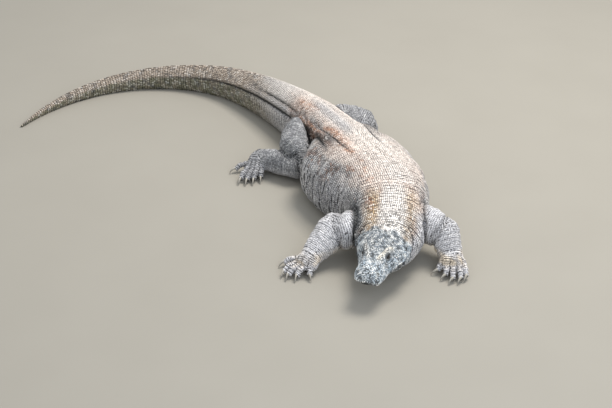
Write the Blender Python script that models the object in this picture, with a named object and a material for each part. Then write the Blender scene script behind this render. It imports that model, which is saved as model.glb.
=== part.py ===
"""Komodo dragon at rest on its belly, life size, as separate solids that meet at thin gaps.

Units are metres and +Z is up. The snout points towards -Y, the tail sweeps round towards -X, and the
belly, hands, feet and tail lie on z = 0. Every outline is worked out from the route of the spine, the
girth along it, and the rows that give each limb's route and thickness.
"""
import math

import bmesh
import bpy
import numpy as np
from mathutils import Matrix, Vector

# ---- driving dimensions -------------------------------------------------------------------------
GAP = 0.0005  # clearance between neighbouring solids
ORIGIN = (-0.2827, 0.1513)

# Route of the spine seen from above, from the snout to the tip of the tail.
SPINE = [
    (0.183, -0.625), (0.217, -0.530), (0.251, -0.435), (0.266, -0.335), (0.268, -0.235),
    (0.246, -0.125), (0.207, -0.030), (0.160, 0.074), (0.127, 0.182), (0.090, 0.282),
    (0.046, 0.375), (-0.005, 0.470), (-0.085, 0.590), (-0.185, 0.715), (-0.315, 0.830),
    (-0.454, 0.888), (-0.610, 0.900), (-0.770, 0.860), (-0.905, 0.775), (-1.010, 0.665),
    (-1.080, 0.555),
]

# Girth along the spine: distance from the snout, height of the widest line, half width, rise above
# that line, drop below it. A drop deeper than the height lies flat on the ground.
GIRTH = [
    (0.000, 0.100, 0.012, 0.008, 0.008), (0.006, 0.100, 0.034, 0.022, 0.016),
    (0.016, 0.100, 0.042, 0.032, 0.022), (0.035, 0.101, 0.047, 0.037, 0.026),
    (0.060, 0.101, 0.048, 0.043, 0.029), (0.085, 0.102, 0.052, 0.052, 0.034),
    (0.112, 0.104, 0.062, 0.060, 0.042), (0.140, 0.106, 0.074, 0.064, 0.050),
    (0.170, 0.108, 0.080, 0.067, 0.057), (0.200, 0.110, 0.089, 0.070, 0.070),
    (0.250, 0.112, 0.106, 0.078, 0.087), (0.300, 0.114, 0.117, 0.090, 0.097),
    (0.360, 0.116, 0.126, 0.104, 0.108), (0.420, 0.116, 0.138, 0.117, 0.130),
    (0.500, 0.112, 0.160, 0.128, 0.130), (0.600, 0.105, 0.178, 0.135, 0.130),
    (0.680, 0.102, 0.186, 0.136, 0.130), (0.750, 0.100, 0.180, 0.133, 0.130),
    (0.820, 0.100, 0.138, 0.126, 0.130), (0.880, 0.100, 0.107, 0.117, 0.125),
    (0.950, 0.101, 0.093, 0.107, 0.120), (1.040, 0.101, 0.088, 0.099, 0.118),
    (1.120, 0.098, 0.084, 0.094, 0.115), (1.220, 0.092, 0.080, 0.088, 0.108),
    (1.360, 0.083, 0.070, 0.080, 0.097), (1.520, 0.070, 0.056, 0.069, 0.082),
    (1.740, 0.055, 0.040, 0.053, 0.063), (1.950, 0.043, 0.030, 0.041, 0.048),
    (2.150, 0.032, 0.022, 0.030, 0.036), (2.350, 0.020, 0.014, 0.018, 0.023),
    (2.490, 0.011, 0.007, 0.009, 0.012), (2.553, 0.006, 0.003, 0.004, 0.006),
]

# Where the trunk line is parted: node, start and end as distances from the snout, rings, sides.
LENGTHS = [
    ("head", 0.0, 0.195, 20, 24), ("neck", 0.195, 0.400, 8, 24), ("trunk", 0.400, 1.120, 18, 24),
    ("tail_base", 1.120, 1.480, 9, 18), ("tail_middle", 1.480, 1.860, 9, 16),
    ("tail_rear", 1.860, 2.220, 7, 12), ("tail_tip", 2.220, 2.552, 6, 10),
]

EYE_RADIUS = 0.0092
EYE_BACK = 0.097  # distance of the eyes behind the snout
EYE_OUT = 0.0345
EYE_UP = 0.036  # above the widest line of the head

# The line of the mouth and the back of the jaw: distance behind the snout, height above the widest
# line of the head.
MOUTH_LINE = [
    (-0.020, -0.008), (0.030, -0.009), (0.075, -0.012), (0.110, -0.012), (0.140, -0.009),
    (0.162, -0.014), (0.172, -0.032), (0.178, -0.090),
]

# Limbs: x, y, z, half width, half height along each bone.
UPPER_ARM_RIGHT = [
    (0.225, -0.275, 0.110, 0.045, 0.050), (0.170, -0.306, 0.104, 0.050, 0.059),
    (0.128, -0.331, 0.098, 0.052, 0.062), (0.094, -0.341, 0.094, 0.044, 0.053),
    (0.076, -0.344, 0.090, 0.020, 0.030),
]
FOREARM_RIGHT = [
    (0.125, -0.300, 0.100, 0.030, 0.040), (0.100, -0.318, 0.100, 0.050, 0.056),
    (0.065, -0.350, 0.080, 0.050, 0.052), (0.035, -0.382, 0.060, 0.042, 0.042),
    (0.012, -0.407, 0.045, 0.036, 0.034),
]
UPPER_ARM_LEFT = [
    (0.330, -0.260, 0.120, 0.045, 0.055), (0.378, -0.300, 0.112, 0.048, 0.064),
    (0.415, -0.328, 0.106, 0.050, 0.061), (0.438, -0.340, 0.101, 0.042, 0.052),
    (0.455, -0.344, 0.098, 0.018, 0.028),
]
FOREARM_LEFT = [
    (0.430, -0.315, 0.100, 0.028, 0.038), (0.440, -0.332, 0.100, 0.046, 0.052),
    (0.450, -0.358, 0.080, 0.046, 0.050), (0.458, -0.384, 0.061, 0.041, 0.042),
    (0.464, -0.408, 0.045, 0.038, 0.034),
]
THIGH_RIGHT = [
    (0.030, 0.390, 0.105, 0.046, 0.052), (-0.008, 0.345, 0.105, 0.054, 0.060),
    (-0.030, 0.285, 0.098, 0.060, 0.066), (-0.034, 0.225, 0.088, 0.060, 0.066),
    (-0.022, 0.172, 0.078, 0.050, 0.056), (-0.012, 0.140, 0.072, 0.022, 0.030),
]
SHANK_RIGHT = [
    (0.004, 0.146, 0.064, 0.022, 0.028), (-0.012, 0.156, 0.063, 0.040, 0.044),
    (-0.055, 0.178, 0.059, 0.045, 0.047), (-0.100, 0.203, 0.054, 0.043, 0.044),
    (-0.145, 0.228, 0.049, 0.036, 0.037), (-0.170, 0.240, 0.045, 0.032, 0.034),
]
THIGH_LEFT = [
    (0.090, 0.405, 0.105, 0.048, 0.052), (0.130, 0.420, 0.105, 0.056, 0.060),
    (0.175, 0.418, 0.098, 0.056, 0.062), (0.218, 0.405, 0.090, 0.048, 0.056),
    (0.246, 0.395, 0.082, 0.022, 0.034),
]
SHANK_LEFT = [
    (0.236, 0.398, 0.058, 0.022, 0.030), (0.228, 0.414, 0.058, 0.042, 0.050),
    (0.206, 0.456, 0.055, 0.044, 0.048), (0.176, 0.500, 0.050, 0.040, 0.042),
    (0.150, 0.533, 0.046, 0.035, 0.036), (0.134, 0.555, 0.044, 0.032, 0.033),
]

# Hands and feet. Each digit: how far its root is along the sole and to the outer side, its turn to
# the outer side from the heading in degrees, its length and its radius.
RIGHT_HAND = [(0.014, -0.022, -17, 0.034, 0.0094), (0.030, -0.007, 10, 0.042, 0.0098),
              (0.029, 0.010, 16, 0.056, 0.0100), (0.022, 0.026, 20, 0.059, 0.0098),
              (0.002, 0.034, 54, 0.053, 0.0092)]
LEFT_HAND = [(0.002, -0.025, -32, 0.035, 0.0092), (0.022, -0.011, -13, 0.037, 0.0096),
             (0.026, 0.006, -3, 0.050, 0.0098), (0.018, 0.023, 6, 0.056, 0.0098),
             (-0.002, 0.037, 10, 0.061, 0.0094)]
FOOT = [(0.044, -0.027, -8, 0.034, 0.0098), (0.052, -0.012, 0, 0.046, 0.0102),
        (0.054, 0.004, 6, 0.054, 0.0104), (0.050, 0.020, 12, 0.060, 0.0102),
        (0.018, 0.032, 56, 0.050, 0.0090)]
# Wrist or ankle, heading in degrees from -Y towards -X, length of the sole, half width and half
# height at the wrist, digits, side (1 right, -1 left), and how far the claws hook inwards in degrees.
PAWS = {
    "hand_right": ((0.012, -0.407, 0.045), 36, 0.030, 0.036, 0.034, RIGHT_HAND, 1, 34),
    "hand_left": ((0.464, -0.408, 0.045), 3, 0.028, 0.038, 0.034, LEFT_HAND, -1, 38),
    "foot_right": ((-0.170, 0.240, 0.045), 16, 0.050, 0.032, 0.034, FOOT, 1, 10),
    "foot_left": ((0.134, 0.555, 0.044), 265, 0.050, 0.032, 0.033, FOOT, -1, 10),
}
# Along the sole: share of its length, height of its middle, and shares of the half width and of 32 mm.
SOLE = [(0.45, 0.036, 1.06, 1.08), (0.85, 0.027, 1.02, 0.84), (1.15, 0.021, 0.74, 0.62)]
# Along a digit: share of its length, height of its middle, and shares of its radius across and up.
DIGIT = [(0.00, 0.026, 1.10, 1.30), (0.22, 0.031, 1.06, 1.16), (0.42, 0.028, 0.92, 1.00),
         (0.62, 0.029, 0.98, 1.06), (0.82, 0.020, 0.90, 1.08), (1.00, 0.0135, 0.88, 1.15)]
CLAW_LENGTH = 0.034
CLAW_RADIUS = 0.0060
CLAW_HEIGHT = 0.0190  # of its root
CLAW_BEND = 75  # degrees from its root to its point

# Colours as linear red, green, blue, with a roughness.
HIDE_GREY = (0.200, 0.190, 0.180, 0.75)
HIDE_TAN = (0.420, 0.330, 0.270, 0.75)
HORN = (0.300, 0.280, 0.250, 0.45)
EYE_BROWN = (0.030, 0.018, 0.010, 0.12)


# ---- helpers ------------------------------------------------------------------------------------
def smooth_rows(rows, reach, at):
    """Rows read at the distances `at` along a smooth curve through them; reach is each row's own."""
    rows = np.asarray(rows, float)
    slope = np.gradient(rows, reach, axis=0)
    i = np.clip(np.searchsorted(reach, at, side="right") - 1, 0, len(rows) - 2)
    gap = (reach[i + 1] - reach[i])[:, None]
    t = ((at - reach[i]) / gap[:, 0])[:, None]
    start, end = rows[i], rows[i + 1]
    return (
        (2 * t**3 - 3 * t**2 + 1) * start
        + (t**3 - 2 * t**2 + t) * gap * slope[i]
        + (3 * t**2 - 2 * t**3) * end
        + (t**3 - t**2) * gap * slope[i + 1]
    )


def chord(points):
    """Distance along a row of points."""
    steps = np.linalg.norm(np.diff(points, axis=0), axis=1)
    return np.concatenate([[0.0], np.cumsum(steps)])


def power(value, exponent):
    return np.sign(value) * np.abs(value) ** exponent


def make_object(name, rings, material):
    """A closed mesh from rings of equal size, each end filled to a point in its middle."""
    count, sides, _ = rings.shape
    points = np.concatenate([rings.reshape(-1, 3), [rings[0].mean(0)], [rings[-1].mean(0)]])
    faces = []
    for r in range(count - 1):
        for k in range(sides):
            n = (k + 1) % sides
            faces.append((r * sides + k, r * sides + n, (r + 1) * sides + n, (r + 1) * sides + k))
    first, last = count * sides, count * sides + 1
    for k in range(sides):
        n = (k + 1) % sides
        faces.append((first, n, k))
        faces.append((last, (count - 1) * sides + k, (count - 1) * sides + n))
    mesh = bpy.data.meshes.new(name)
    mesh.from_pydata(points.tolist(), [], faces)
    return finish_mesh(name, mesh, material)


def finish_mesh(name, mesh, material):
    """Merges doubles, turns the faces outwards and links the object."""
    work = bmesh.new()
    work.from_mesh(mesh)
    bmesh.ops.remove_doubles(work, verts=work.verts, dist=1e-5)
    bmesh.ops.recalc_face_normals(work, faces=work.faces)
    if work.calc_volume(signed=True) < 0:
        bmesh.ops.reverse_faces(work, faces=work.faces)
    work.to_mesh(mesh)
    work.free()
    obj = bpy.data.objects.new(name, mesh)
    bpy.context.scene.collection.objects.link(obj)
    mesh.materials.append(material)
    return obj


def make_material(name, look):
    material = bpy.data.materials.new(name)
    material.use_nodes = True
    shader = material.node_tree.nodes["Principled BSDF"]
    shader.inputs["Base Color"].default_value = (*look[:3], 1.0)
    shader.inputs["Roughness"].default_value = look[3]
    return material


def evaluated_mesh(obj):
    graph = bpy.context.evaluated_depsgraph_get()
    return bpy.data.meshes.new_from_object(obj.evaluated_get(graph))


def combine(obj, others, operation, inflate=0.0):
    """Cuts the other objects from obj, or joins them to it. A cutter can be grown by `inflate`."""
    for other in others:
        tool = bpy.data.objects.new("cutter", other.data.copy())
        bpy.context.scene.collection.objects.link(tool)
        if inflate:
            normals = [v.normal.copy() for v in tool.data.vertices]
            for vertex, normal in zip(tool.data.vertices, normals):
                vertex.co += normal * inflate
        modifier = obj.modifiers.new("combine", "BOOLEAN")
        modifier.operation = operation
        modifier.object = tool
        joined = evaluated_mesh(obj)
        obj.modifiers.clear()
        obj.data = joined
        bpy.data.objects.remove(tool)
    return obj


def bodies_of(obj):
    """The separate bodies of obj's mesh, largest first, as lists of face indices."""
    work = bmesh.new()
    work.from_mesh(obj.data)
    left = set(work.faces)
    found = []
    while left:
        todo = [left.pop()]
        body = [todo[0]]
        while todo:
            face = todo.pop()
            for edge in face.edges:
                for near in edge.link_faces:
                    if near in left:
                        left.remove(near)
                        todo.append(near)
                        body.append(near)
        found.append([f.index for f in body])
    work.free()
    return sorted(found, key=len, reverse=True)


def keep_faces(obj, kept):
    work = bmesh.new()
    work.from_mesh(obj.data)
    kept = set(kept)
    gone = [f for f in work.faces if f.index not in kept]
    bmesh.ops.delete(work, geom=gone, context="FACES")
    bmesh.ops.remove_doubles(work, verts=work.verts, dist=2e-5)
    bmesh.ops.triangulate(work, faces=work.faces)
    work.to_mesh(obj.data)
    work.free()


def keep_largest(obj):
    keep_faces(obj, bodies_of(obj)[0])
    return obj


# ---- the trunk line: head, neck, trunk and tail --------------------------------------------------
def spine_frame(at):
    """Points on the spine seen from above, with the unit side vector to the animal's left there."""
    route = np.array(SPINE)
    reach = chord(route)
    here = smooth_rows(route, reach, at)
    ahead = smooth_rows(route, reach, np.clip(at + 0.002, 0, reach[-1]))
    behind = smooth_rows(route, reach, np.clip(at - 0.002, 0, reach[-1]))
    tangent = ahead - behind
    tangent /= np.linalg.norm(tangent, axis=1)[:, None]
    side = np.stack([tangent[:, 1], -tangent[:, 0]], axis=1)
    return here, side


def girth_at(at):
    table = np.array(GIRTH)
    return smooth_rows(table[:, 1:], table[:, 0], at)


def bump(value, centre, width):
    return np.exp(-(((value - centre) / width) ** 2))


def section(at, angle):
    """Sideways and upward offsets of the skin at distance `at` and angle round the section."""
    height, half, rise, drop = girth_at(at.ravel()).T.reshape(4, *at.shape)
    c, s = np.cos(angle), np.sin(angle)
    in_head = 1 / (1 + np.exp((at - 0.215) / 0.012))
    in_tail = 1 / (1 + np.exp(-(at - 1.15) / 0.05))
    side_power = 0.86 - 0.08 * in_head + 0.14 * in_tail
    low_power = 0.70 + 0.22 * in_tail
    out = half * power(c, side_power)
    # The roof of the head is narrower than the jowls, and so is the back of the tail.
    out = out * (1 - (0.30 * in_head + 0.20 * in_tail) * np.clip(s, 0, 1) ** 1.5)
    up = np.where(s > 0, rise * np.abs(s) ** (0.92 - 0.10 * in_head), -drop * np.abs(s) ** low_power)
    # A brow ridge over each eye, a hollow for the eye and the full muscle of the jaw behind it.
    brow = bump(at, EYE_BACK + 0.004, 0.018) * bump(np.abs(c), 0.72, 0.16) * (s > 0)
    up = up + 0.007 * brow
    socket = bump(at, EYE_BACK, 0.012) * bump(s, 0.42, 0.16)
    out = out * (1 - 0.10 * socket * np.sign(half))
    return height, out, up


def rings_between(start, end, rings, sides):
    """Rings of skin points from one distance to another. The snout and tail close to a small end."""
    if start == 0.0:
        at = end * np.linspace(0, 1, rings) ** 1.35
    else:
        at = np.linspace(start, end, rings)
    grid, angle = np.meshgrid(at, np.arange(sides) * 2 * math.pi / sides, indexing="ij")
    height, out, up = section(grid, angle)
    here, side = spine_frame(at)
    points = np.empty((rings, sides, 3))
    points[..., :2] = here[:, None, :] + side[:, None, :] * out[..., None]
    points[..., 2] = np.maximum(height + up, 0.0)
    return points


def make_trunk_line(grey, tan):
    made = {}
    for name, start, end, rings, sides in LENGTHS:
        first = start + GAP / 2 if start else 0.0
        points = rings_between(first, end - GAP / 2, rings, sides)
        made[name] = make_object(name, points, tan if name in ("neck", "trunk") else grey)
    return made


# ---- limbs --------------------------------------------------------------------------------------
def tube(name, rows, rings, sides, material, floor=0.0):
    """A limb along its rows: a smooth route with an oval section, flattened where it meets the floor."""
    rows = np.array(rows)
    reach = chord(rows[:, :3])
    at = np.linspace(0, reach[-1], rings)
    line = smooth_rows(rows, reach, at)
    tangent = np.gradient(line[:, :3], at, axis=0)
    tangent /= np.linalg.norm(tangent, axis=1)[:, None]
    side = np.cross(tangent, (0, 0, 1))
    side /= np.linalg.norm(side, axis=1)[:, None]
    up = np.cross(side, tangent)
    angle = (np.arange(sides) + 0.5) * 2 * math.pi / sides
    points = (
        line[:, None, :3]
        + side[:, None, :] * (line[:, None, 3:4] * np.cos(angle)[None, :, None])
        + up[:, None, :] * (line[:, None, 4:5] * np.sin(angle)[None, :, None])
    )
    if floor is not None:
        points[..., 2] = np.maximum(points[..., 2], floor)
    return make_object(name, points, material)


def heading_vector(degrees):
    """Unit vector on the ground, measured from -Y towards -X."""
    return np.array([-math.sin(math.radians(degrees)), -math.cos(math.radians(degrees)), 0.0])


def digit_rows(root, ahead, length, radius):
    """A digit that arches up over its two knuckles and comes down to the ground at its claw."""
    return [
        (*(root[:2] + ahead[:2] * length * t), z, radius * wide, radius * high)
        for t, z, wide, high in DIGIT
    ]


def claw(name, root, ahead, material):
    """A hooked claw: a curved cone that leaves the digit level and ends pointing down."""
    rings, sides = 4, 5
    points = []
    for r in range(rings):
        t = r / (rings - 1)
        whole = math.radians(CLAW_BEND)
        bend = whole * t
        along = CLAW_LENGTH * math.sin(bend) / whole
        down = CLAW_LENGTH * (1 - math.cos(bend)) / whole
        middle = root + ahead * along + np.array([0, 0, -down])
        radius = CLAW_RADIUS * (1 - 0.93 * t)
        across = np.cross(ahead, (0, 0, 1))
        over = np.array([0, 0, 1]) * math.cos(bend) + ahead * math.sin(bend)
        for k in range(sides):
            angle = k * 2 * math.pi / sides
            points.append(middle + across * radius * 0.8 * math.cos(angle) + over * radius * math.sin(angle))
    rings_of_points = np.array(points).reshape(rings, sides, 3)
    rings_of_points[..., 2] = np.maximum(rings_of_points[..., 2], 0.0)
    return make_object(name, rings_of_points, material)


def make_paw(name, paw, hide, horn):
    """A palm or sole with five digits joined to it, and a claw at the end of each."""
    wrist, heading, sole, half, high, digits, hand, hook = paw
    wrist = np.array(wrist)
    ahead = heading_vector(heading)
    outer = np.array([ahead[1], -ahead[0], 0.0]) * hand
    palm_rows = [(*wrist, half, high)]
    for share, z, wide, tall in SOLE:
        palm_rows.append((*(wrist + ahead * sole * share)[:2], z, half * wide, 0.032 * tall))
    palm = tube(name, palm_rows, 6, 10, hide, floor=None)
    claws = []
    fingers = []
    for index, (along, aside, turn, length, radius) in enumerate(digits, start=1):
        out = heading_vector(heading + hand * turn)
        root = wrist + ahead * along + outer * aside
        rows = digit_rows(root, out, length, radius)
        fingers.append(tube("finger", rows, 5, 6, hide, floor=None))
        claw_root = np.array([*rows[-1][:2], CLAW_HEIGHT]) + out * GAP
        claw_way = heading_vector(heading + hand * (turn - hook))
        claws.append(claw(f"claw_{name}_{index}", claw_root, claw_way, horn))
    combine(palm, fingers, "UNION")
    for finger in fingers:
        bpy.data.objects.remove(finger)
    combine(palm, [ground_block()], "DIFFERENCE")
    return keep_largest(palm), claws


def ground_block():
    """A block under the ground, for cutting the soles flat."""
    block = bpy.data.objects.get("ground")
    if block is None:
        bpy.ops.mesh.primitive_cube_add(size=4, location=(0, 0, -2))
        block = bpy.context.active_object
        block.name = "ground"
        block.data.transform(Matrix.Translation((0, 0, -2)))
        block.location = (0, 0, 0)
        block.hide_render = True
        block.display_type = "WIRE"
    return block


# ---- the head -----------------------------------------------------------------------------------
def head_point(back, left, above_line):
    """A place on the head: distance behind the snout, to the animal's left, above the widest line."""
    snout, further = np.array(SPINE[0]), np.array(SPINE[1])
    behind = (further - snout) / np.linalg.norm(further - snout)
    side = np.array([behind[1], -behind[0]])
    height = girth_at(np.array([max(back, 0.0)]))[0, 0]
    return Vector((*(snout + behind * back + side * left), height + above_line))


def make_eye(name, left, material):
    bpy.ops.mesh.primitive_uv_sphere_add(segments=12, ring_count=8, radius=EYE_RADIUS)
    eye = bpy.context.active_object
    eye.name = name
    eye.data.transform(Matrix.Translation(head_point(EYE_BACK, left, EYE_UP)))
    eye.data.materials.append(material)
    return eye


def mouth_cutter():
    """A thin sheet along the line of the mouth that turns down behind the jaw."""
    line = np.array(MOUTH_LINE)
    run = np.gradient(line, axis=0)
    run /= np.linalg.norm(run, axis=1)[:, None]
    normal = np.stack([-run[:, 1], run[:, 0]], axis=1) * GAP / 2
    rings = []
    for place, offset in zip(line, normal):
        low, high = place - offset, place + offset
        corners = ((-0.12, low), (0.12, low), (0.12, high), (-0.12, high))
        rings.append([head_point(at[0], left, at[1]) for left, at in corners])
    return make_object("mouth_sheet", np.array(rings), bpy.data.materials[0])


def make_head(head, grey, eye_brown):
    eyes = [make_eye("eye_left", EYE_OUT, eye_brown), make_eye("eye_right", -EYE_OUT, eye_brown)]
    combine(head, eyes, "DIFFERENCE", inflate=GAP)
    sheet = mouth_cutter()
    combine(head, [sheet], "DIFFERENCE")
    bpy.data.objects.remove(sheet)
    upper, lower = bodies_of(head)[:2]
    jaw = bpy.data.objects.new("lower_jaw", head.data.copy())
    bpy.context.scene.collection.objects.link(jaw)
    keep_faces(head, upper)
    keep_faces(jaw, lower)
    return [head, jaw, *eyes]


# ---- the whole animal ---------------------------------------------------------------------------
def main():
    for obj in list(bpy.data.objects):
        bpy.data.objects.remove(obj)
    grey = make_material("grey_hide", HIDE_GREY)
    tan = make_material("tan_hide", HIDE_TAN)
    horn = make_material("horn", HORN)
    eye_brown = make_material("eye", EYE_BROWN)

    line = make_trunk_line(grey, tan)
    body = [line[n] for n in ("neck", "trunk", "tail_base")]
    make_head(line["head"], grey, eye_brown)
    bones = [
        ("upper_arm_right", UPPER_ARM_RIGHT, "forearm_right", FOREARM_RIGHT, "hand_right"),
        ("upper_arm_left", UPPER_ARM_LEFT, "forearm_left", FOREARM_LEFT, "hand_left"),
        ("thigh_right", THIGH_RIGHT, "shank_right", SHANK_RIGHT, "foot_right"),
        ("thigh_left", THIGH_LEFT, "shank_left", SHANK_LEFT, "foot_left"),
    ]
    for upper_name, upper_rows, lower_name, lower_rows, paw_name in bones:
        upper = tube(upper_name, upper_rows, 8, 13, grey)
        keep_largest(combine(upper, body, "DIFFERENCE", inflate=GAP))
        lower = tube(lower_name, lower_rows, 8, 13, grey)
        keep_largest(combine(lower, [upper, *body], "DIFFERENCE", inflate=GAP))
        paw, claws = make_paw(paw_name, PAWS[paw_name], grey, horn)
        keep_largest(combine(paw, [lower, upper, *body], "DIFFERENCE", inflate=GAP))
        for nail in claws:
            combine(nail, [paw], "DIFFERENCE", inflate=GAP / 2)
            keep_largest(nail)
    shift = Matrix.Translation((-ORIGIN[0], -ORIGIN[1], 0))
    for obj in bpy.data.objects:
        obj.data.transform(shift)


main()
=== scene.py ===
import math
import bmesh
import bpy
import numpy as np
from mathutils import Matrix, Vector
from mathutils.bvhtree import BVHTree
from mathutils.kdtree import KDTree


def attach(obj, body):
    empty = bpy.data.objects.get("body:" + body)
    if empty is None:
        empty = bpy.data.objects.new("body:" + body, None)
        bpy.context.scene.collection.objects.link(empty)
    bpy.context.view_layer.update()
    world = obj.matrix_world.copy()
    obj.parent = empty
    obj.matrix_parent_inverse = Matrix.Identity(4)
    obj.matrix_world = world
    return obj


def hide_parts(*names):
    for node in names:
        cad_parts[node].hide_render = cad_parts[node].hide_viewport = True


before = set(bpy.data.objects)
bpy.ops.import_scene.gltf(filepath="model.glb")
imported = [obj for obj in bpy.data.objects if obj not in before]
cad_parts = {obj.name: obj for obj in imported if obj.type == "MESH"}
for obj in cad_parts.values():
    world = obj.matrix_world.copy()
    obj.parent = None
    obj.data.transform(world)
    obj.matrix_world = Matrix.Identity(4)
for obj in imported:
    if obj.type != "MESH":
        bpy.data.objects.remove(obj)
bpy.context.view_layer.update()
shift = np.array([0.2827, -0.1513, 0.0])  # from the layout of the routes below to the model's own frame
tau = 2 * math.pi


# --- small tools ---
def toLinear(hexColour):
    # sRGB hex to linear red, green, blue
    parts = np.array([int(hexColour[k:k + 2], 16) for k in (1, 3, 5)]) / 255
    linear = np.where(parts <= 0.04045, parts / 12.92, ((parts + 0.055) / 1.055) ** 2.4)
    return (*linear.tolist(), 1.0)


def bump(value, centre, width):
    # 1 at the centre, falling off on both sides as a bell curve
    return np.exp(-(((value - centre) / width) ** 2))


def blob(*parts):
    # a bell curve in several values at once; each part is a value, its centre and its width
    return np.exp(-sum(((value - centre) / width) ** 2 for value, centre, width in parts))


def strongest(*masks):
    return np.maximum.reduce(masks)


def ramp(value, low, high):
    # 0 below low, 1 above high, an S curve between; high may be the lower of the two
    t = np.clip((value - low) / (high - low), 0, 1)
    return t * t * (3 - 2 * t)


def waves(points, size, seed):
    # seven sine waves of about one size in random directions, added and scaled to about -1 to 1
    pick = np.random.default_rng(seed)
    way = pick.normal(size=(7, 3))
    way /= np.linalg.norm(way, axis=1)[:, None]
    turn = points @ (way * tau / (size * pick.uniform(0.7, 1.5, (7, 1)))).T + pick.uniform(0, tau, 7)
    return np.sin(turn).sum(axis=1) / 3.2


def smoothRows(rows, reach, at):
    # cubic curve through the rows, with each row's slope taken from its neighbours
    rows = np.asarray(rows, float)
    slope = np.gradient(rows, reach, axis=0)
    i = np.clip(np.searchsorted(reach, at, side="right") - 1, 0, len(rows) - 2)
    gap = (reach[i + 1] - reach[i])[:, None]
    t = (at - reach[i])[:, None] / gap
    return ((2 * t**3 - 3 * t**2 + 1) * rows[i] + (t**3 - 2 * t**2 + t) * gap * slope[i]
            + (3 * t**2 - 2 * t**3) * rows[i + 1] + (t**3 - t**2) * gap * slope[i + 1])


def chord(points):
    # the distance run at each point of a line
    return np.concatenate([[0.0], np.cumsum(np.linalg.norm(np.diff(points, axis=0), axis=1))])


def unit(vectors):
    return vectors / np.maximum(np.linalg.norm(vectors, axis=-1, keepdims=True), 1e-12)


def readTable(table, at):
    # every column read at the distances, by straight lines between close samples
    at = np.asarray(at, float)
    flat = np.clip(at.ravel(), table["at"][0], table["at"][-1])
    i = np.clip(np.searchsorted(table["at"], flat, side="right") - 1, 0, len(table["at"]) - 2)
    t = ((flat - table["at"][i]) / (table["at"][i + 1] - table["at"][i]))[:, None]
    read = table["rows"][i] * (1 - t) + table["rows"][i + 1] * t
    return read.reshape(*at.shape, -1)


def meshFrom(name, points, triangles, smooth=True):
    # a new object at the origin, straight from arrays
    mesh = bpy.data.meshes.new(name)
    mesh.vertices.add(len(points))
    mesh.vertices.foreach_set("co", np.ascontiguousarray(points, np.float32).ravel())
    mesh.loops.add(triangles.size)
    mesh.loops.foreach_set("vertex_index", np.ascontiguousarray(triangles, np.int32).ravel())
    mesh.polygons.add(len(triangles))
    sides = triangles.shape[1]
    mesh.polygons.foreach_set("loop_start", np.arange(len(triangles), dtype=np.int32) * sides)
    mesh.polygons.foreach_set("loop_total", np.full(len(triangles), sides, np.int32))
    mesh.update(calc_edges=True)
    mesh.polygons.foreach_set("use_smooth", np.full(len(triangles), smooth))
    mesh.validate()
    obj = bpy.data.objects.new(name, mesh)
    bpy.context.scene.collection.objects.link(obj)
    return obj


def gridShell(rings, capStart=True, capEnd=True):
    # a closed tube's points and triangles from rings of equal size; each open end is a fan to its middle
    count, sides, _ = rings.shape
    points = np.concatenate([rings.reshape(-1, 3), [rings[0].mean(0)], [rings[-1].mean(0)]])
    r, k = np.meshgrid(np.arange(count - 1), np.arange(sides), indexing="ij")
    n = (k + 1) % sides
    a, b, c, d = r * sides + k, r * sides + n, (r + 1) * sides + n, (r + 1) * sides + k
    faces = [np.stack([a, b, c], -1).reshape(-1, 3), np.stack([a, c, d], -1).reshape(-1, 3)]
    k = np.arange(sides)
    n = (k + 1) % sides
    if capStart:
        faces.append(np.stack([np.full(sides, count * sides), n, k], -1))
    if capEnd:
        last = (count - 1) * sides
        faces.append(np.stack([np.full(sides, count * sides + 1), last + k, last + n], -1))
    triangles = np.concatenate(faces)
    corner = points[triangles]
    volume = np.einsum("ij,ij->i", corner[:, 0], np.cross(corner[:, 1], corner[:, 2])).sum()
    return points, triangles if volume > 0 else triangles[:, ::-1]


def joined(shells):
    # many shells as one list of points and one of triangles
    starts = np.cumsum([0] + [len(points) for points, _ in shells[:-1]])
    return (np.concatenate([points for points, _ in shells]),
            np.concatenate([triangles + start for (_, triangles), start in zip(shells, starts)]))


def addAttribute(obj, name, values):
    layer = obj.data.attributes.new(name, "FLOAT", "POINT")
    layer.data.foreach_set("value", np.ascontiguousarray(values, np.float32))


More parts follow.
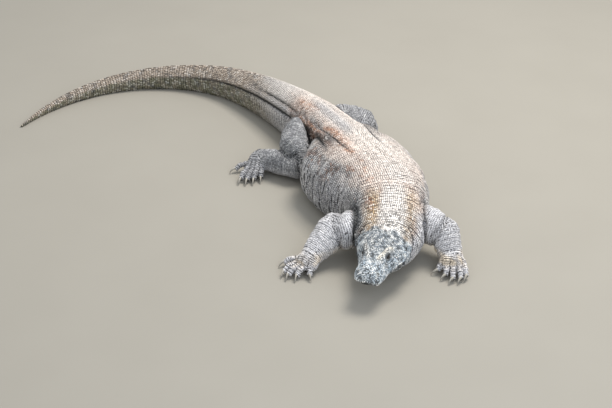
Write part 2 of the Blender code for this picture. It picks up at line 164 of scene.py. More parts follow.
# --- the trunk line, from snout to tail tip ---
trunkLine = {
    "route": [  # seen from above
        (0.183, -0.625), (0.217, -0.530), (0.251, -0.435), (0.266, -0.335), (0.268, -0.235),
        (0.246, -0.125), (0.207, -0.030), (0.160, 0.074), (0.127, 0.182), (0.090, 0.282),
        (0.046, 0.375), (-0.005, 0.470), (-0.085, 0.590), (-0.185, 0.715), (-0.315, 0.830),
        (-0.454, 0.888), (-0.610, 0.900), (-0.770, 0.860), (-0.905, 0.775), (-1.010, 0.665),
        (-1.080, 0.555),
    ],
    "girth": [  # distance behind the snout, height of the widest line, half width, rise, drop
        (0.000, 0.100, 0.012, 0.008, 0.008), (0.006, 0.100, 0.034, 0.022, 0.016),
        (0.016, 0.100, 0.042, 0.032, 0.022), (0.035, 0.101, 0.047, 0.037, 0.026),
        (0.060, 0.101, 0.048, 0.043, 0.029), (0.085, 0.102, 0.052, 0.052, 0.034),
        (0.112, 0.104, 0.062, 0.060, 0.042), (0.140, 0.106, 0.074, 0.064, 0.050),
        (0.170, 0.108, 0.080, 0.067, 0.057), (0.200, 0.110, 0.089, 0.070, 0.070),
        (0.250, 0.112, 0.106, 0.078, 0.087), (0.300, 0.114, 0.117, 0.090, 0.097),
        (0.360, 0.116, 0.126, 0.104, 0.108), (0.420, 0.116, 0.138, 0.117, 0.130),
        (0.500, 0.112, 0.160, 0.128, 0.130), (0.600, 0.105, 0.178, 0.135, 0.130),
        (0.680, 0.102, 0.186, 0.136, 0.130), (0.750, 0.100, 0.180, 0.133, 0.130),
        (0.820, 0.100, 0.138, 0.126, 0.130), (0.880, 0.100, 0.107, 0.117, 0.125),
        (0.950, 0.101, 0.093, 0.107, 0.120), (1.040, 0.101, 0.088, 0.099, 0.118),
        (1.120, 0.098, 0.084, 0.094, 0.115), (1.220, 0.092, 0.080, 0.088, 0.108),
        (1.360, 0.083, 0.070, 0.080, 0.097), (1.520, 0.070, 0.056, 0.069, 0.082),
        (1.740, 0.055, 0.040, 0.053, 0.063), (1.950, 0.043, 0.030, 0.041, 0.048),
        (2.150, 0.032, 0.022, 0.030, 0.036), (2.350, 0.020, 0.014, 0.018, 0.023),
        (2.490, 0.011, 0.007, 0.009, 0.012), (2.552, 0.006, 0.003, 0.004, 0.006),
    ],
    "length": 2.551,
}
route = np.array(trunkLine["route"]) + shift[:2]
girth = np.array(trunkLine["girth"])
reach = chord(route)
sampleAt = np.linspace(0, trunkLine["length"], 1400)
tangent = unit(smoothRows(route, reach, np.clip(sampleAt + 0.002, 0, reach[-1]))
               - smoothRows(route, reach, np.clip(sampleAt - 0.002, 0, reach[-1])))
trunkTable = {"at": sampleAt, "rows": np.concatenate([
    smoothRows(route, reach, sampleAt), tangent[:, 1:], -tangent[:, :1],
    smoothRows(girth[:, 1:], girth[:, 0], sampleAt)], axis=1)}
eye = {"radius": 0.0092, "back": 0.097, "out": 0.0345, "up": 0.036}
snoutCap = 0.005  # length over which the snout closes


def trunkSurface(at, angle):
    # an oval round the widest line: the sides follow cosine to a power, the back and belly sine to a
    # power; the roof of the head and the back of the tail are narrower, the front of the snout rounds
    # off like a quarter circle, and the ground cuts all of it flat
    at, angle = np.broadcast_arrays(at, angle)
    x, y, sideX, sideY, height, half, rise, drop = np.moveaxis(readTable(trunkTable, at), -1, 0)
    c, s = np.cos(angle), np.sin(angle)
    inHead = 1 / (1 + np.exp((at - 0.215) / 0.012))
    inTail = 1 / (1 + np.exp(-(at - 1.15) / 0.05))
    out = half * np.sign(c) * np.abs(c) ** (0.86 - 0.08 * inHead + 0.14 * inTail)
    out = out * (1 - (0.30 * inHead + 0.20 * inTail) * np.clip(s, 0, 1) ** 1.5)
    up = np.where(s > 0, rise * np.abs(s) ** (0.92 - 0.10 * inHead),
                  -drop * np.abs(s) ** (0.70 + 0.22 * inTail))
    up = up + 0.007 * bump(at, eye["back"] + 0.004, 0.018) * bump(np.abs(c), 0.72, 0.16) * (s > 0)
    out = out * (1 - 0.10 * bump(at, eye["back"], 0.012) * bump(s, 0.42, 0.16))
    before = np.minimum(at, 0.0)
    close = np.sqrt(np.clip(1 - (before / snoutCap) ** 2, 0.0, 1.0))
    out, up = out * close, up * close
    x = x + sideX * out - sideY * before * 0.4
    y = y + sideY * out + sideX * before * 0.4
    return np.stack([x, y, np.maximum(height + up, 0.0)], axis=-1)


def trunkPlace(points):
    # distance behind the snout, distance to the animal's left, height and side as shares of the section's
    # own, and how far out of the section a point is: 1 on the skin
    near = np.empty(len(points), int)
    coarse = trunkTable["rows"][::4, :2]
    for start in range(0, len(points), 20000):
        part = points[start:start + 20000, None, :2] - coarse
        near[start:start + 20000] = (part ** 2).sum(-1).argmin(1) * 4
    row = trunkTable["rows"][near]
    offset = points[:, :2] - row[:, :2]
    left = (offset * row[:, 2:4]).sum(1)
    along = -offset[:, 0] * row[:, 3] + offset[:, 1] * row[:, 2]
    at = np.clip(trunkTable["at"][near] + along, 0, trunkLine["length"])
    height, half, rise, drop = readTable(trunkTable, at)[:, 4:].T
    lift = points[:, 2] - height
    full = np.where(lift > 0, rise, drop)
    norm = ((np.abs(left) / half) ** 2.3 + (np.abs(lift) / full) ** 2.3) ** (1 / 2.3)
    return at, left, lift / full, left / half, norm


snout = np.array([0.183, -0.625]) + shift[:2]
headBack = unit(np.array([0.251, -0.435]) + shift[:2] - snout)
headLeft = np.array([headBack[1], -headBack[0]])


def headPoint(back, left, above):
    # a place on the head: behind the snout, to the animal's left, above the widest line
    height = readTable(trunkTable, np.clip(back, 0, 0.3))[..., 4]
    flat = snout + headBack * np.asarray(back)[..., None] + headLeft * np.asarray(left)[..., None]
    return np.concatenate([flat, (height + above)[..., None]], axis=-1)


def headPlace(points):
    # the way back from a place to what headPoint takes
    offset = points[:, :2] - snout
    back = offset @ headBack
    return back, offset @ headLeft, points[:, 2] - readTable(trunkTable, np.clip(back, 0, 0.3))[:, 4]


# --- limbs: x, y, z, half width, half height along each bone ---
limbs = {
    "upperArmRight": [(0.225, -0.275, 0.110, 0.045, 0.050), (0.170, -0.306, 0.104, 0.050, 0.059),
                      (0.128, -0.331, 0.098, 0.052, 0.062), (0.094, -0.341, 0.094, 0.044, 0.053),
                      (0.076, -0.344, 0.090, 0.020, 0.030)],
    "forearmRight": [(0.125, -0.300, 0.100, 0.030, 0.040), (0.100, -0.318, 0.100, 0.050, 0.056),
                     (0.065, -0.350, 0.080, 0.050, 0.052), (0.035, -0.382, 0.060, 0.042, 0.042),
                     (0.012, -0.407, 0.045, 0.036, 0.034)],
    "upperArmLeft": [(0.330, -0.260, 0.120, 0.045, 0.055), (0.378, -0.300, 0.112, 0.048, 0.064),
                     (0.415, -0.328, 0.106, 0.050, 0.061), (0.438, -0.340, 0.101, 0.042, 0.052),
                     (0.455, -0.344, 0.098, 0.018, 0.028)],
    "forearmLeft": [(0.430, -0.315, 0.100, 0.028, 0.038), (0.440, -0.332, 0.100, 0.046, 0.052),
                    (0.450, -0.358, 0.080, 0.046, 0.050), (0.458, -0.384, 0.061, 0.041, 0.042),
                    (0.464, -0.408, 0.045, 0.038, 0.034)],
    "thighRight": [(0.030, 0.390, 0.105, 0.046, 0.052), (-0.008, 0.345, 0.105, 0.054, 0.060),
                   (-0.030, 0.285, 0.098, 0.060, 0.066), (-0.034, 0.225, 0.088, 0.060, 0.066),
                   (-0.022, 0.172, 0.078, 0.050, 0.056), (-0.012, 0.140, 0.072, 0.022, 0.030)],
    "shankRight": [(0.004, 0.146, 0.064, 0.022, 0.028), (-0.012, 0.156, 0.063, 0.040, 0.044),
                   (-0.055, 0.178, 0.059, 0.045, 0.047), (-0.100, 0.203, 0.054, 0.043, 0.044),
                   (-0.145, 0.228, 0.049, 0.036, 0.037), (-0.170, 0.240, 0.045, 0.032, 0.034)],
    "thighLeft": [(0.090, 0.405, 0.105, 0.048, 0.052), (0.130, 0.420, 0.105, 0.056, 0.060),
                  (0.175, 0.418, 0.098, 0.056, 0.062), (0.218, 0.405, 0.090, 0.048, 0.056),
                  (0.246, 0.395, 0.082, 0.022, 0.034)],
    "shankLeft": [(0.236, 0.398, 0.058, 0.022, 0.030), (0.228, 0.414, 0.058, 0.042, 0.050),
                  (0.206, 0.456, 0.055, 0.044, 0.048), (0.176, 0.500, 0.050, 0.040, 0.042),
                  (0.150, 0.533, 0.046, 0.035, 0.036), (0.134, 0.555, 0.044, 0.032, 0.033)],
}

# each digit: how far its root is along the sole and to the outer side, its turn to the outer side from
# the heading in degrees, its length and its radius
rightHand = [(0.014, -0.022, -17, 0.034, 0.0094), (0.030, -0.007, 10, 0.042, 0.0098),
             (0.029, 0.010, 16, 0.056, 0.0100), (0.022, 0.026, 20, 0.059, 0.0098),
             (0.002, 0.034, 54, 0.053, 0.0092)]
leftHand = [(0.002, -0.025, -32, 0.035, 0.0092), (0.022, -0.011, -13, 0.037, 0.0096),
            (0.026, 0.006, -3, 0.050, 0.0098), (0.018, 0.023, 6, 0.056, 0.0098),
            (-0.002, 0.037, 10, 0.061, 0.0094)]
foot = [(0.044, -0.027, -8, 0.034, 0.0098), (0.052, -0.012, 0, 0.046, 0.0102),
        (0.054, 0.004, 6, 0.054, 0.0104), (0.050, 0.020, 12, 0.060, 0.0102),
        (0.018, 0.032, 56, 0.050, 0.0090)]
# wrist or ankle, heading in degrees from -Y towards -X, sole, half width and height at the wrist,
# digits, side (1 right, -1 left), and how far the claws hook inwards
paws = {
    "hand_right": ((0.012, -0.407, 0.045), 36, 0.030, 0.036, 0.034, rightHand, 1, 34),
    "hand_left": ((0.464, -0.408, 0.045), 3, 0.028, 0.038, 0.034, leftHand, -1, 38),
    "foot_right": ((-0.170, 0.240, 0.045), 16, 0.050, 0.032, 0.034, foot, 1, 10),
    "foot_left": ((0.134, 0.555, 0.044), 265, 0.050, 0.032, 0.033, foot, -1, 10),
}
# along the sole: share of its length, height, shares of the half width and of 32 mm
soleRows = [(0.45, 0.036, 1.06, 1.08), (0.85, 0.027, 1.02, 0.84), (1.15, 0.021, 0.74, 0.62)]
# along a digit, over its two knuckles: share of its length, height, shares of its radius
digitRows = [(0.00, 0.026, 1.08, 1.28), (0.12, 0.0295, 1.05, 1.20), (0.24, 0.031, 1.08, 1.16),
             (0.42, 0.027, 0.88, 0.98), (0.62, 0.029, 1.00, 1.08), (0.80, 0.021, 0.86, 1.04),
             (0.92, 0.0155, 0.90, 1.14), (1.00, 0.0135, 0.74, 0.98)]
claw = {"length": 0.031, "radius": 0.0056, "height": 0.0190, "bend": 78}


def tubeTable(rows, count=60):
    # a limb's centre line with its sideways and upward directions and its two radii, closely sampled
    rows = np.array(rows, float)
    run = chord(rows[:, :3])
    at = np.linspace(0, run[-1], count)
    line = smoothRows(rows, run, at)
    line[:, :3] += shift
    way = unit(np.gradient(line[:, :3], at, axis=0))
    side = unit(np.cross(way, (0, 0, 1)))
    return {"at": at, "rows": np.concatenate([line[:, :3], side, np.cross(side, way), line[:, 3:]], axis=1),
            "way": way}


def tubeSurface(table):
    # an oval round the centre line, cut flat by the ground
    def surface(at, angle):
        at, angle = np.broadcast_arrays(at, angle)
        read = readTable(table, at)
        points = (read[..., :3] + read[..., 3:6] * (read[..., 9] * np.cos(angle))[..., None]
                  + read[..., 6:9] * (read[..., 10] * np.sin(angle))[..., None])
        points[..., 2] = np.maximum(points[..., 2], 0.0)
        return points
    return surface


def tubeNorm(table, points):
    # how far out of a limb's section each point is: 1 on its skin; far points get a big number
    centres = table["rows"][:, :3]
    margin = table["rows"][:, 9:].max() + 0.03
    close = ((points > centres.min(0) - margin) & (points < centres.max(0) + margin)).all(1)
    norm = np.full(len(points), 99.0)
    place = np.zeros(len(points))
    if not close.any():
        return norm, place
    offset = points[close][:, None] - centres
    near = (offset ** 2).sum(-1).argmin(1)
    offset = offset[np.arange(len(near)), near]
    row = table["rows"][near]
    along = (offset * table["way"][near]).sum(1)
    across = (offset * row[:, 3:6]).sum(1) / row[:, 9]
    over = (offset * row[:, 6:9]).sum(1) / row[:, 10]
    ends = np.abs(along) / row[:, 9:].mean(1)
    norm[close] = np.sqrt(across ** 2 + over ** 2 + ends ** 2)
    place[close] = near / (len(centres) - 1)
    return norm, place


def ahead(degrees):
    # the level direction turned so far from -Y towards -X
    return np.array([-math.sin(math.radians(degrees)), -math.cos(math.radians(degrees)), 0.0])


limbTables = {name: tubeTable(rows) for name, rows in limbs.items()}
digitTips = {}
for pawName, (wrist, heading, sole, half, high, digits, hand, hook) in paws.items():
    wrist = np.array(wrist)
    forward = ahead(heading)
    outer = np.array([forward[1], -forward[0], 0.0]) * hand
    limbTables[pawName] = tubeTable([(*wrist, half, high)] + [
        (*(wrist + forward * sole * share)[:2], z, half * wide, 0.032 * tall)
        for share, z, wide, tall in soleRows])
    for index, (along, aside, turn, length, radius) in enumerate(digits, start=1):
        out = ahead(heading + hand * turn)
        root = wrist + forward * along + outer * aside
        limbTables[f"{pawName}_{index}"] = tubeTable([
            (*(root + out * length * t)[:2], z, radius * wide, radius * tall)
            for t, z, wide, tall in digitRows], 40)
        tip = np.array([*(root + out * length)[:2], claw["height"]]) + shift
        digitTips[pawName, index] = (tip, ahead(heading + hand * (turn - hook)))


# --- the skin ---
skin = {"voxel": 0.0025, "inset": 0.0012, "most": 190000}


def shellOf(surface, start, end, rings, sides):
    # a closed shell from rings at even distances
    at = np.linspace(start, end, rings)
    return gridShell(surface(at[:, None], np.arange(sides)[None, :] * tau / sides))


noseAt = -snoutCap * np.cos(np.linspace(0, tau / 4, 10))[:-1]
at = np.concatenate([noseAt, np.linspace(0, trunkLine["length"], 900)])
shells = [gridShell(trunkSurface(at[:, None], np.arange(160)[None, :] * tau / 160))]
for name, table in limbTables.items():
    digit = name[-1].isdigit()
    shells.append(shellOf(tubeSurface(table), 0, table["at"][-1], 40 if digit else 60, 24 if digit else 48))
for wrist, _, _, half, _, _, _, _ in paws.values():
    # a ball rounds the wrist or heel between the limb and the sole
    tilt, turn = np.meshgrid(np.linspace(0.02, math.pi - 0.02, 24), np.arange(32) * tau / 32, indexing="ij")
    way = np.stack([np.sin(tilt) * np.cos(turn), np.sin(tilt) * np.sin(turn), np.cos(tilt)], -1)
    shells.append(gridShell(np.array(wrist) + shift + way * half * 0.96))
skinPiece = meshFrom("skin", *joined(shells))


def applied(obj, kind, **settings):
    # the mesh with one modifier worked in
    modifier = obj.modifiers.new(kind.lower(), kind)
    for key, value in settings.items():
        setattr(modifier, key, value)
    graph = bpy.context.evaluated_depsgraph_get()
    mesh = bpy.data.meshes.new_from_object(obj.evaluated_get(graph))
    obj.modifiers.clear()
    old = obj.data
    obj.data = mesh
    bpy.data.meshes.remove(old)


def pointsOf(mesh):
    flat = np.empty(len(mesh.vertices) * 3, np.float32)
    mesh.vertices.foreach_get("co", flat)
    return flat.reshape(-1, 3).astype(float)


def setPoints(mesh, points):
    mesh.vertices.foreach_set("co", points.astype(np.float32).ravel())
    mesh.update()


def normalsOf(mesh):
    flat = np.empty(len(mesh.vertices) * 3, np.float32)
    mesh.vertex_normals.foreach_get("vector", flat)
    return flat.reshape(-1, 3).astype(float)


def relax(mesh, points, weight, rounds):
    # each point moves part of the way to the mean of its neighbours
    edges = np.empty(len(mesh.edges) * 2, np.int32)
    mesh.edges.foreach_get("vertices", edges)
    a, b = edges.reshape(-1, 2).T
    count = np.bincount(edges, minlength=len(points))[:, None]
    n = len(points)
    for _ in range(rounds):
        mean = np.stack([np.bincount(a, points[b, k], n) + np.bincount(b, points[a, k], n)
                         for k in range(3)], axis=1) / count
        points = points + weight[:, None] * (mean - points)
    return points


def limbNorms(points):
    return {name: tubeNorm(table, points) for name, table in limbTables.items()}


def placeOnLimb(norms):
    # the place along the nearest limb part, 0 at its start and 1 at its end
    best, place = [values.copy() for values in next(iter(norms.values()))]
    for norm, along in norms.values():
        place = np.where(norm < best, along, place)
        best = np.minimum(norm, best)
    return place


def creases(norms, trunkNorm):
    # 1 on the lines where limbs leave the body, and where elbows and knees fold
    roots = np.zeros(len(trunkNorm))
    bends = np.zeros(len(trunkNorm))
    for upper, lower in (("upperArmRight", "forearmRight"), ("upperArmLeft", "forearmLeft"),
                         ("thighRight", "shankRight"), ("thighLeft", "shankLeft")):
        upperNorm, lowerNorm = norms[upper][0], norms[lower][0]
        limb = np.minimum(upperNorm, lowerNorm)
        roots = np.maximum(roots, bump(limb, 1.0, 0.14) * bump(trunkNorm, 1.0, 0.065))
        bends = np.maximum(bends, bump(upperNorm, 1.0, 0.14) * bump(lowerNorm, 1.0, 0.16))
    # 1 on the lines between neighbouring digits, fading towards the wrist
    toes = np.zeros(len(trunkNorm))
    for paw in paws:
        digits = np.sort([norms[f"{paw}_{k}"][0] for k in range(1, 6)], axis=0)
        toes = np.maximum(toes, bump(digits[1] - digits[0], 0, 0.30) * ramp(digits[0], 3.6, 2.2))
    return roots, bends, toes


# the closed mouth: distance behind the snout, height above the head's widest line
mouthLine = np.array([(-0.020, -0.008), (0.030, -0.009), (0.075, -0.012), (0.110, -0.012),
                      (0.140, -0.009), (0.300, -0.009)])
mouthEnd = 0.146
nostril = {"back": 0.020, "out": 0.031, "up": 0.020, "size": 0.0040}
ear = {"back": 0.176, "out": 0.068, "up": 0.020}

# folds of the throat: place along the trunk line, depth, width, and the lift at which each ends
throatFolds = [(0.200, -0.0085, 0.0055, 0.90), (0.226, 0.0055, 0.011, 0.60),
               (0.255, -0.0060, 0.006, 0.55), (0.279, 0.0045, 0.011, 0.30), (0.303, -0.0055, 0.006, 0.45),
               (0.328, 0.0030, 0.011, 0.20), (0.352, -0.0045, 0.007, 0.30)]
# the sharp groove over the thigh and the softer one along the loin: distance along, distance aside
hipGroove = np.array([(0.66, 0.120), (0.72, 0.109), (0.80, 0.101), (0.87, 0.095), (0.95, 0.089),
                      (1.05, 0.083), (1.15, 0.076)])
loinGroove = np.array([(0.58, 0.061), (0.65, 0.061), (0.735, 0.067), (0.82, 0.075), (0.90, 0.071),
                       (0.98, 0.066)])


def throatOf(at, lift):
    # the throat's folds slant back as they come down
    return at - 0.037 * lift


def flankWrinkle(points, at, lift):
    # wavering upright wrinkles 14.5 mm apart, as a sine
    return np.sin(at * tau / 0.0145 + 2.2 * waves(points, 0.07, 5) + 2 * lift)


def browAside(back):
    # the brows spread as they run back
    return 0.014 + (back - 0.063) * 0.46


def hipLines(at, left, lift):
    # three masks: the groove over the thigh, the ridge inside it, and the groove along the loin
    aside = np.abs(left)
    high = ramp(lift, 0.1, 0.3)
    hipAside = np.interp(at, hipGroove[:, 0], hipGroove[:, 1])
    loinAside = np.interp(at, loinGroove[:, 0], loinGroove[:, 1])
    between = hipAside * 0.6 + loinAside * 0.4
    hip = bump(aside, hipAside, 0.006) * ramp(at, 0.68, 0.80) * ramp(at, 1.16, 1.12) * high
    ridge = bump(aside, between, 0.009) * ramp(at, 0.66, 0.78) * ramp(at, 1.10, 0.98) * high
    loin = bump(aside, loinAside, 0.006) * ramp(at, 0.58, 0.70) * ramp(at, 0.97, 0.88) * high
    return hip, ridge, loin


def folds(points):
    # how far the hide stands out or in, in metres, from its place on the body
    at, left, lift, across, norm = trunkPlace(points)
    back, headSide, above = headPlace(points)
    norms = limbNorms(points)
    place = placeOnLimb(norms)
    roots, bends, toes = creases(norms, norm)
    onTrunk = ramp(norm, 1.16, 1.04)
    onHead = ramp(back, 0.21, 0.19) * onTrunk
    aside = np.abs(headSide)

    def spot(b, o, u, size):
        return np.exp(-((back - b) ** 2 + (aside - o) ** 2 + (above - u) ** 2) / size ** 2)

    # the closed mouth, with fuller lips on both sides of it
    gap = above - np.interp(back, mouthLine[:, 0], mouthLine[:, 1])
    mouth = onHead * ramp(back, mouthEnd + 0.004, mouthEnd - 0.004)
    out = mouth * (-0.0036 * bump(gap, 0, 0.0020) + 0.0016 * bump(gap, 0.0055, 0.0035)
                   - 0.0010 * ramp(gap, -0.001, -0.004))
    # sharp lines where the limbs leave the body and where they fold
    out -= (0.0075 + 0.0025 * (at < 0.5)) * roots + 0.0050 * bends + 0.0034 * toes * (points[:, 2] > 0.012)
    # nostrils in swollen rims, the ear openings, brows, and the ridge from brow to nostril
    out += onHead * (0.0022 * spot(nostril["back"] + 0.003, nostril["out"], nostril["up"], 0.010)
                     - 0.0050 * spot(nostril["back"], nostril["out"], nostril["up"], nostril["size"]))
    out -= 0.0060 * onTrunk * blob((back, ear["back"], 0.0055), (above, ear["up"], 0.0085),
                                   (aside, ear["out"], 0.03))
    brow = ramp(back, 0.060, 0.080) * ramp(back, 0.134, 0.116) * bump(aside, browAside(back), 0.0060)
    out += 0.0060 * onHead * brow * ramp(above, 0.026, 0.040)
    snoutRidge = ramp(back, 0.025, 0.040) * ramp(back, 0.088, 0.074) * bump(aside, 0.0285, 0.0055)
    out += 0.0032 * onHead * snoutRidge * ramp(above, 0.012, 0.024)
    # the hollow before the eye, the dips between and behind the brows, jaw muscles and the temples
    out -= 0.0036 * onHead * spot(0.072, 0.040, 0.018, 0.014)
    fromEye = np.sqrt((back - eye["back"]) ** 2 + (above - eye["up"]) ** 2)
    out -= 0.0016 * onHead * bump(fromEye, 0.0175, 0.0022) * ramp(above, eye["up"], eye["up"] - 0.008)
    out -= 0.0038 * onHead * bump(aside, 0, 0.013) * bump(back, 0.088, 0.030) * (above > 0)
    out -= 0.0022 * onHead * bump(aside, 0.024, 0.009) * bump(back, 0.126, 0.012) * (above > 0.02)
    out += 0.0042 * onHead * spot(0.155, 0.036, 0.058, 0.026)
    out += 0.0030 * onHead * bump(aside, 0, 0.010) * bump(back, 0.150, 0.030) * (above > 0.02)
    out += 0.0040 * onTrunk * spot(0.158, 0.074, -0.008, 0.026)
    out -= 0.0036 * onTrunk * spot(0.130, 0.060, 0.020, 0.013)
    out -= 0.0024 * onHead * bump(back, 0.122, 0.007) * ramp(above, -0.004, 0.004) \
        * ramp(above, 0.034, 0.024)
    # soft bone under the hide of the head and fine folds below the eye
    out += 0.0008 * onHead * waves(points, 0.020, 31)
    # the step behind the skull, the fold behind the jaw and the loose folds of the throat
    out -= 0.0022 * onTrunk * bump(at - 0.03 * np.abs(across), 0.205, 0.008) * ramp(lift, 0.0, 0.4)
    throat = throatOf(at, lift) + 0.003 * waves(points, 0.05, 17)
    for centre, deep, width, top in throatFolds:
        out += deep * ramp(lift, top, top - 0.45) * onTrunk * bump(throat, centre, width)
    # a long fold down the side of the neck to the shoulder
    sideNeck = onTrunk * ramp(at, 0.24, 0.28) * ramp(at, 0.45, 0.39)
    out += sideNeck * (-0.0050 * bump(lift, 0.34 + 0.8 * (at - 0.3), 0.07) + 0.0030 * bump(lift, 0.50, 0.12))
    # fine rings round the neck, wrinkles down the flanks, and a coarser drape of the loose hide
    neck = onTrunk * ramp(at, 0.20, 0.24) * ramp(at, 0.50, 0.42)
    out += 0.0008 * neck * np.sin(at * tau / 0.0165 + 1.5 * waves(points, 0.06, 3))
    flank = onTrunk * ramp(at, 0.42, 0.52) * ramp(at, 1.08, 0.98) * ramp(lift, 0.66, 0.10)
    out += 0.0018 * flank * flankWrinkle(points, at, lift)
    out += 0.0026 * flank * np.sin(at * tau / 0.041 + 2.4 * waves(points, 0.13, 6) - 2 * lift)
    nearLimb = ramp(at, 0.42, 0.46) * ramp(at, 0.60, 0.50) + ramp(at, 0.74, 0.82) * ramp(at, 0.98, 0.90)
    pleats = np.sin(at * tau / 0.027 + 2 * waves(points, 0.08, 9))
    out += 0.0030 * nearLimb * onTrunk * ramp(lift, 0.75, 0.2) * pleats
    drape = onTrunk * ramp(at, 0.35, 0.5) * ramp(at, 1.2, 1.0)
    out += 0.0028 * drape * waves(points, 0.10, 7) * ramp(lift, 1.05, 0.3)
    # the backbone between two shallow grooves, the hollow of the loin and the rim over the flank
    spine = onTrunk * ramp(at, 0.44, 0.58) * ramp(at, 1.16, 1.04) * (lift > 0.3)
    out += spine * (0.0016 * bump(left, 0, 0.009) - 0.0024 * bump(np.abs(left), 0.024, 0.009)
                    + 0.0014 * bump(np.abs(left), 0.046, 0.014))
    hip, ridge, loin = hipLines(at, left, lift)
    out += onTrunk * (-0.0080 * hip + 0.0055 * ridge - 0.0040 * loin)
    blade = onTrunk * blob((at, 0.43, 0.05), (np.abs(across), 0.66, 0.22))
    out += 0.0045 * blade * (lift > 0)
    # the lateral grooves of the tail, its rings and its double crest
    tail = ramp(at, 1.02, 1.14) * onTrunk * ramp(at, 2.3, 1.7)
    out -= 0.0075 * tail * bump(lift, 0.27, 0.085) * ramp(at, 1.9, 1.3)
    out -= 0.0034 * tail * bump(lift, 0.60, 0.06) * ramp(at, 1.45, 1.28)
    out += 0.0022 * tail * bump(lift, 0.45, 0.08) * ramp(at, 1.9, 1.4)
    out += 0.0007 * tail * np.sin(at * tau / 0.019) * ramp(lift, 0.3, 0.1)
    out += 0.0022 * ramp(at, 1.25, 1.45) * ramp(at, 2.5, 2.2) * onTrunk \
        * bump(np.abs(left), 0.0045, 0.0030) * (lift > 0.6)
    # folds across the limbs, deep ones at elbow and knee, and the soft muscles between
    onLimb = ramp(norm, 1.04, 1.16)
    out += 0.0010 * onLimb * np.sin(place * 42 + 2 * waves(points, 0.05, 11))
    out += 0.0014 * onLimb * waves(points, 0.050, 13) * ramp(points[:, 2], 0.02, 0.05)
    out -= 0.0030 * onLimb * bump(place, 0.93, 0.03) * ramp(points[:, 2], 0.02, 0.05)
    return out


eyeFrames = {}
for side, name in ((1, "left"), (-1, "right")):
    centre = headPoint(eye["back"], side * eye["out"], eye["up"])
    outward = unit(np.array([*(headLeft * side * 0.76 - headBack * 0.28), 0.50]))
    forward = np.array([*(-headBack), -0.12])
    forward = unit(forward - outward * (forward @ outward))
    above = np.cross(outward, forward)
    eyeFrames[name] = (centre, outward, forward, above if above[2] > 0 else -above)


def openSockets(points):
    # round each eye the skin sinks to a bowl inside the ball, and meets the head again beyond the lids
    for centre, outward, _, _ in eyeFrames.values():
        offset = points - centre
        distance = np.linalg.norm(offset, axis=1)
        turn = np.arccos(np.clip((offset @ outward) / np.maximum(distance, 1e-9), -1, 1))
        inside = ramp(turn, 0.98, 0.70) * (distance < 0.02)
        wanted = np.minimum(distance, eye["radius"] * 0.86)
        points = centre + offset * (1 + inside * (wanted / np.maximum(distance, 1e-9) - 1))[:, None]
    return points


def refineHead(mesh):
    # one cut through every edge of the head's faces, so that its folds have finer points to bend at
    centres = np.empty(len(mesh.polygons) * 3, np.float32)
    mesh.polygons.foreach_get("center", centres)
    inHead = np.flatnonzero(headPlace(centres.reshape(-1, 3).astype(float))[0] < 0.2)
    body = bmesh.new()
    body.from_mesh(mesh)
    body.faces.ensure_lookup_table()
    edges = {edge for index in inHead.tolist() for edge in body.faces[index].edges}
    bmesh.ops.subdivide_edges(body, edges=list(edges), cuts=1, use_grid_fill=True)
    bmesh.ops.triangulate(body, faces=body.faces[:])
    body.to_mesh(mesh)
    body.free()


applied(skinPiece, "REMESH", mode="VOXEL", voxel_size=skin["voxel"])
refineHead(skinPiece.data)
skinPoints = pointsOf(skinPiece.data)
skinPoints = relax(skinPiece.data, skinPoints, np.full(len(skinPoints), 0.5), 6)
setPoints(skinPiece.data, skinPoints)
skinPoints += normalsOf(skinPiece.data) * (folds(skinPoints) - skin["inset"])[:, None]
skinPoints = openSockets(skinPoints)
skinPoints[:, 2] = np.maximum(skinPoints[:, 2], 0.0012)
setPoints(skinPiece.data, skinPoints)
print("skin before thinning:", len(skinPiece.data.polygons), "faces")
applied(skinPiece, "DECIMATE", ratio=min(1.0, skin["most"] / len(skinPiece.data.polygons)))
skinPiece.data.polygons.foreach_set("use_smooth", np.ones(len(skinPiece.data.polygons), bool))
print("skin:", len(skinPiece.data.polygons), "triangles")


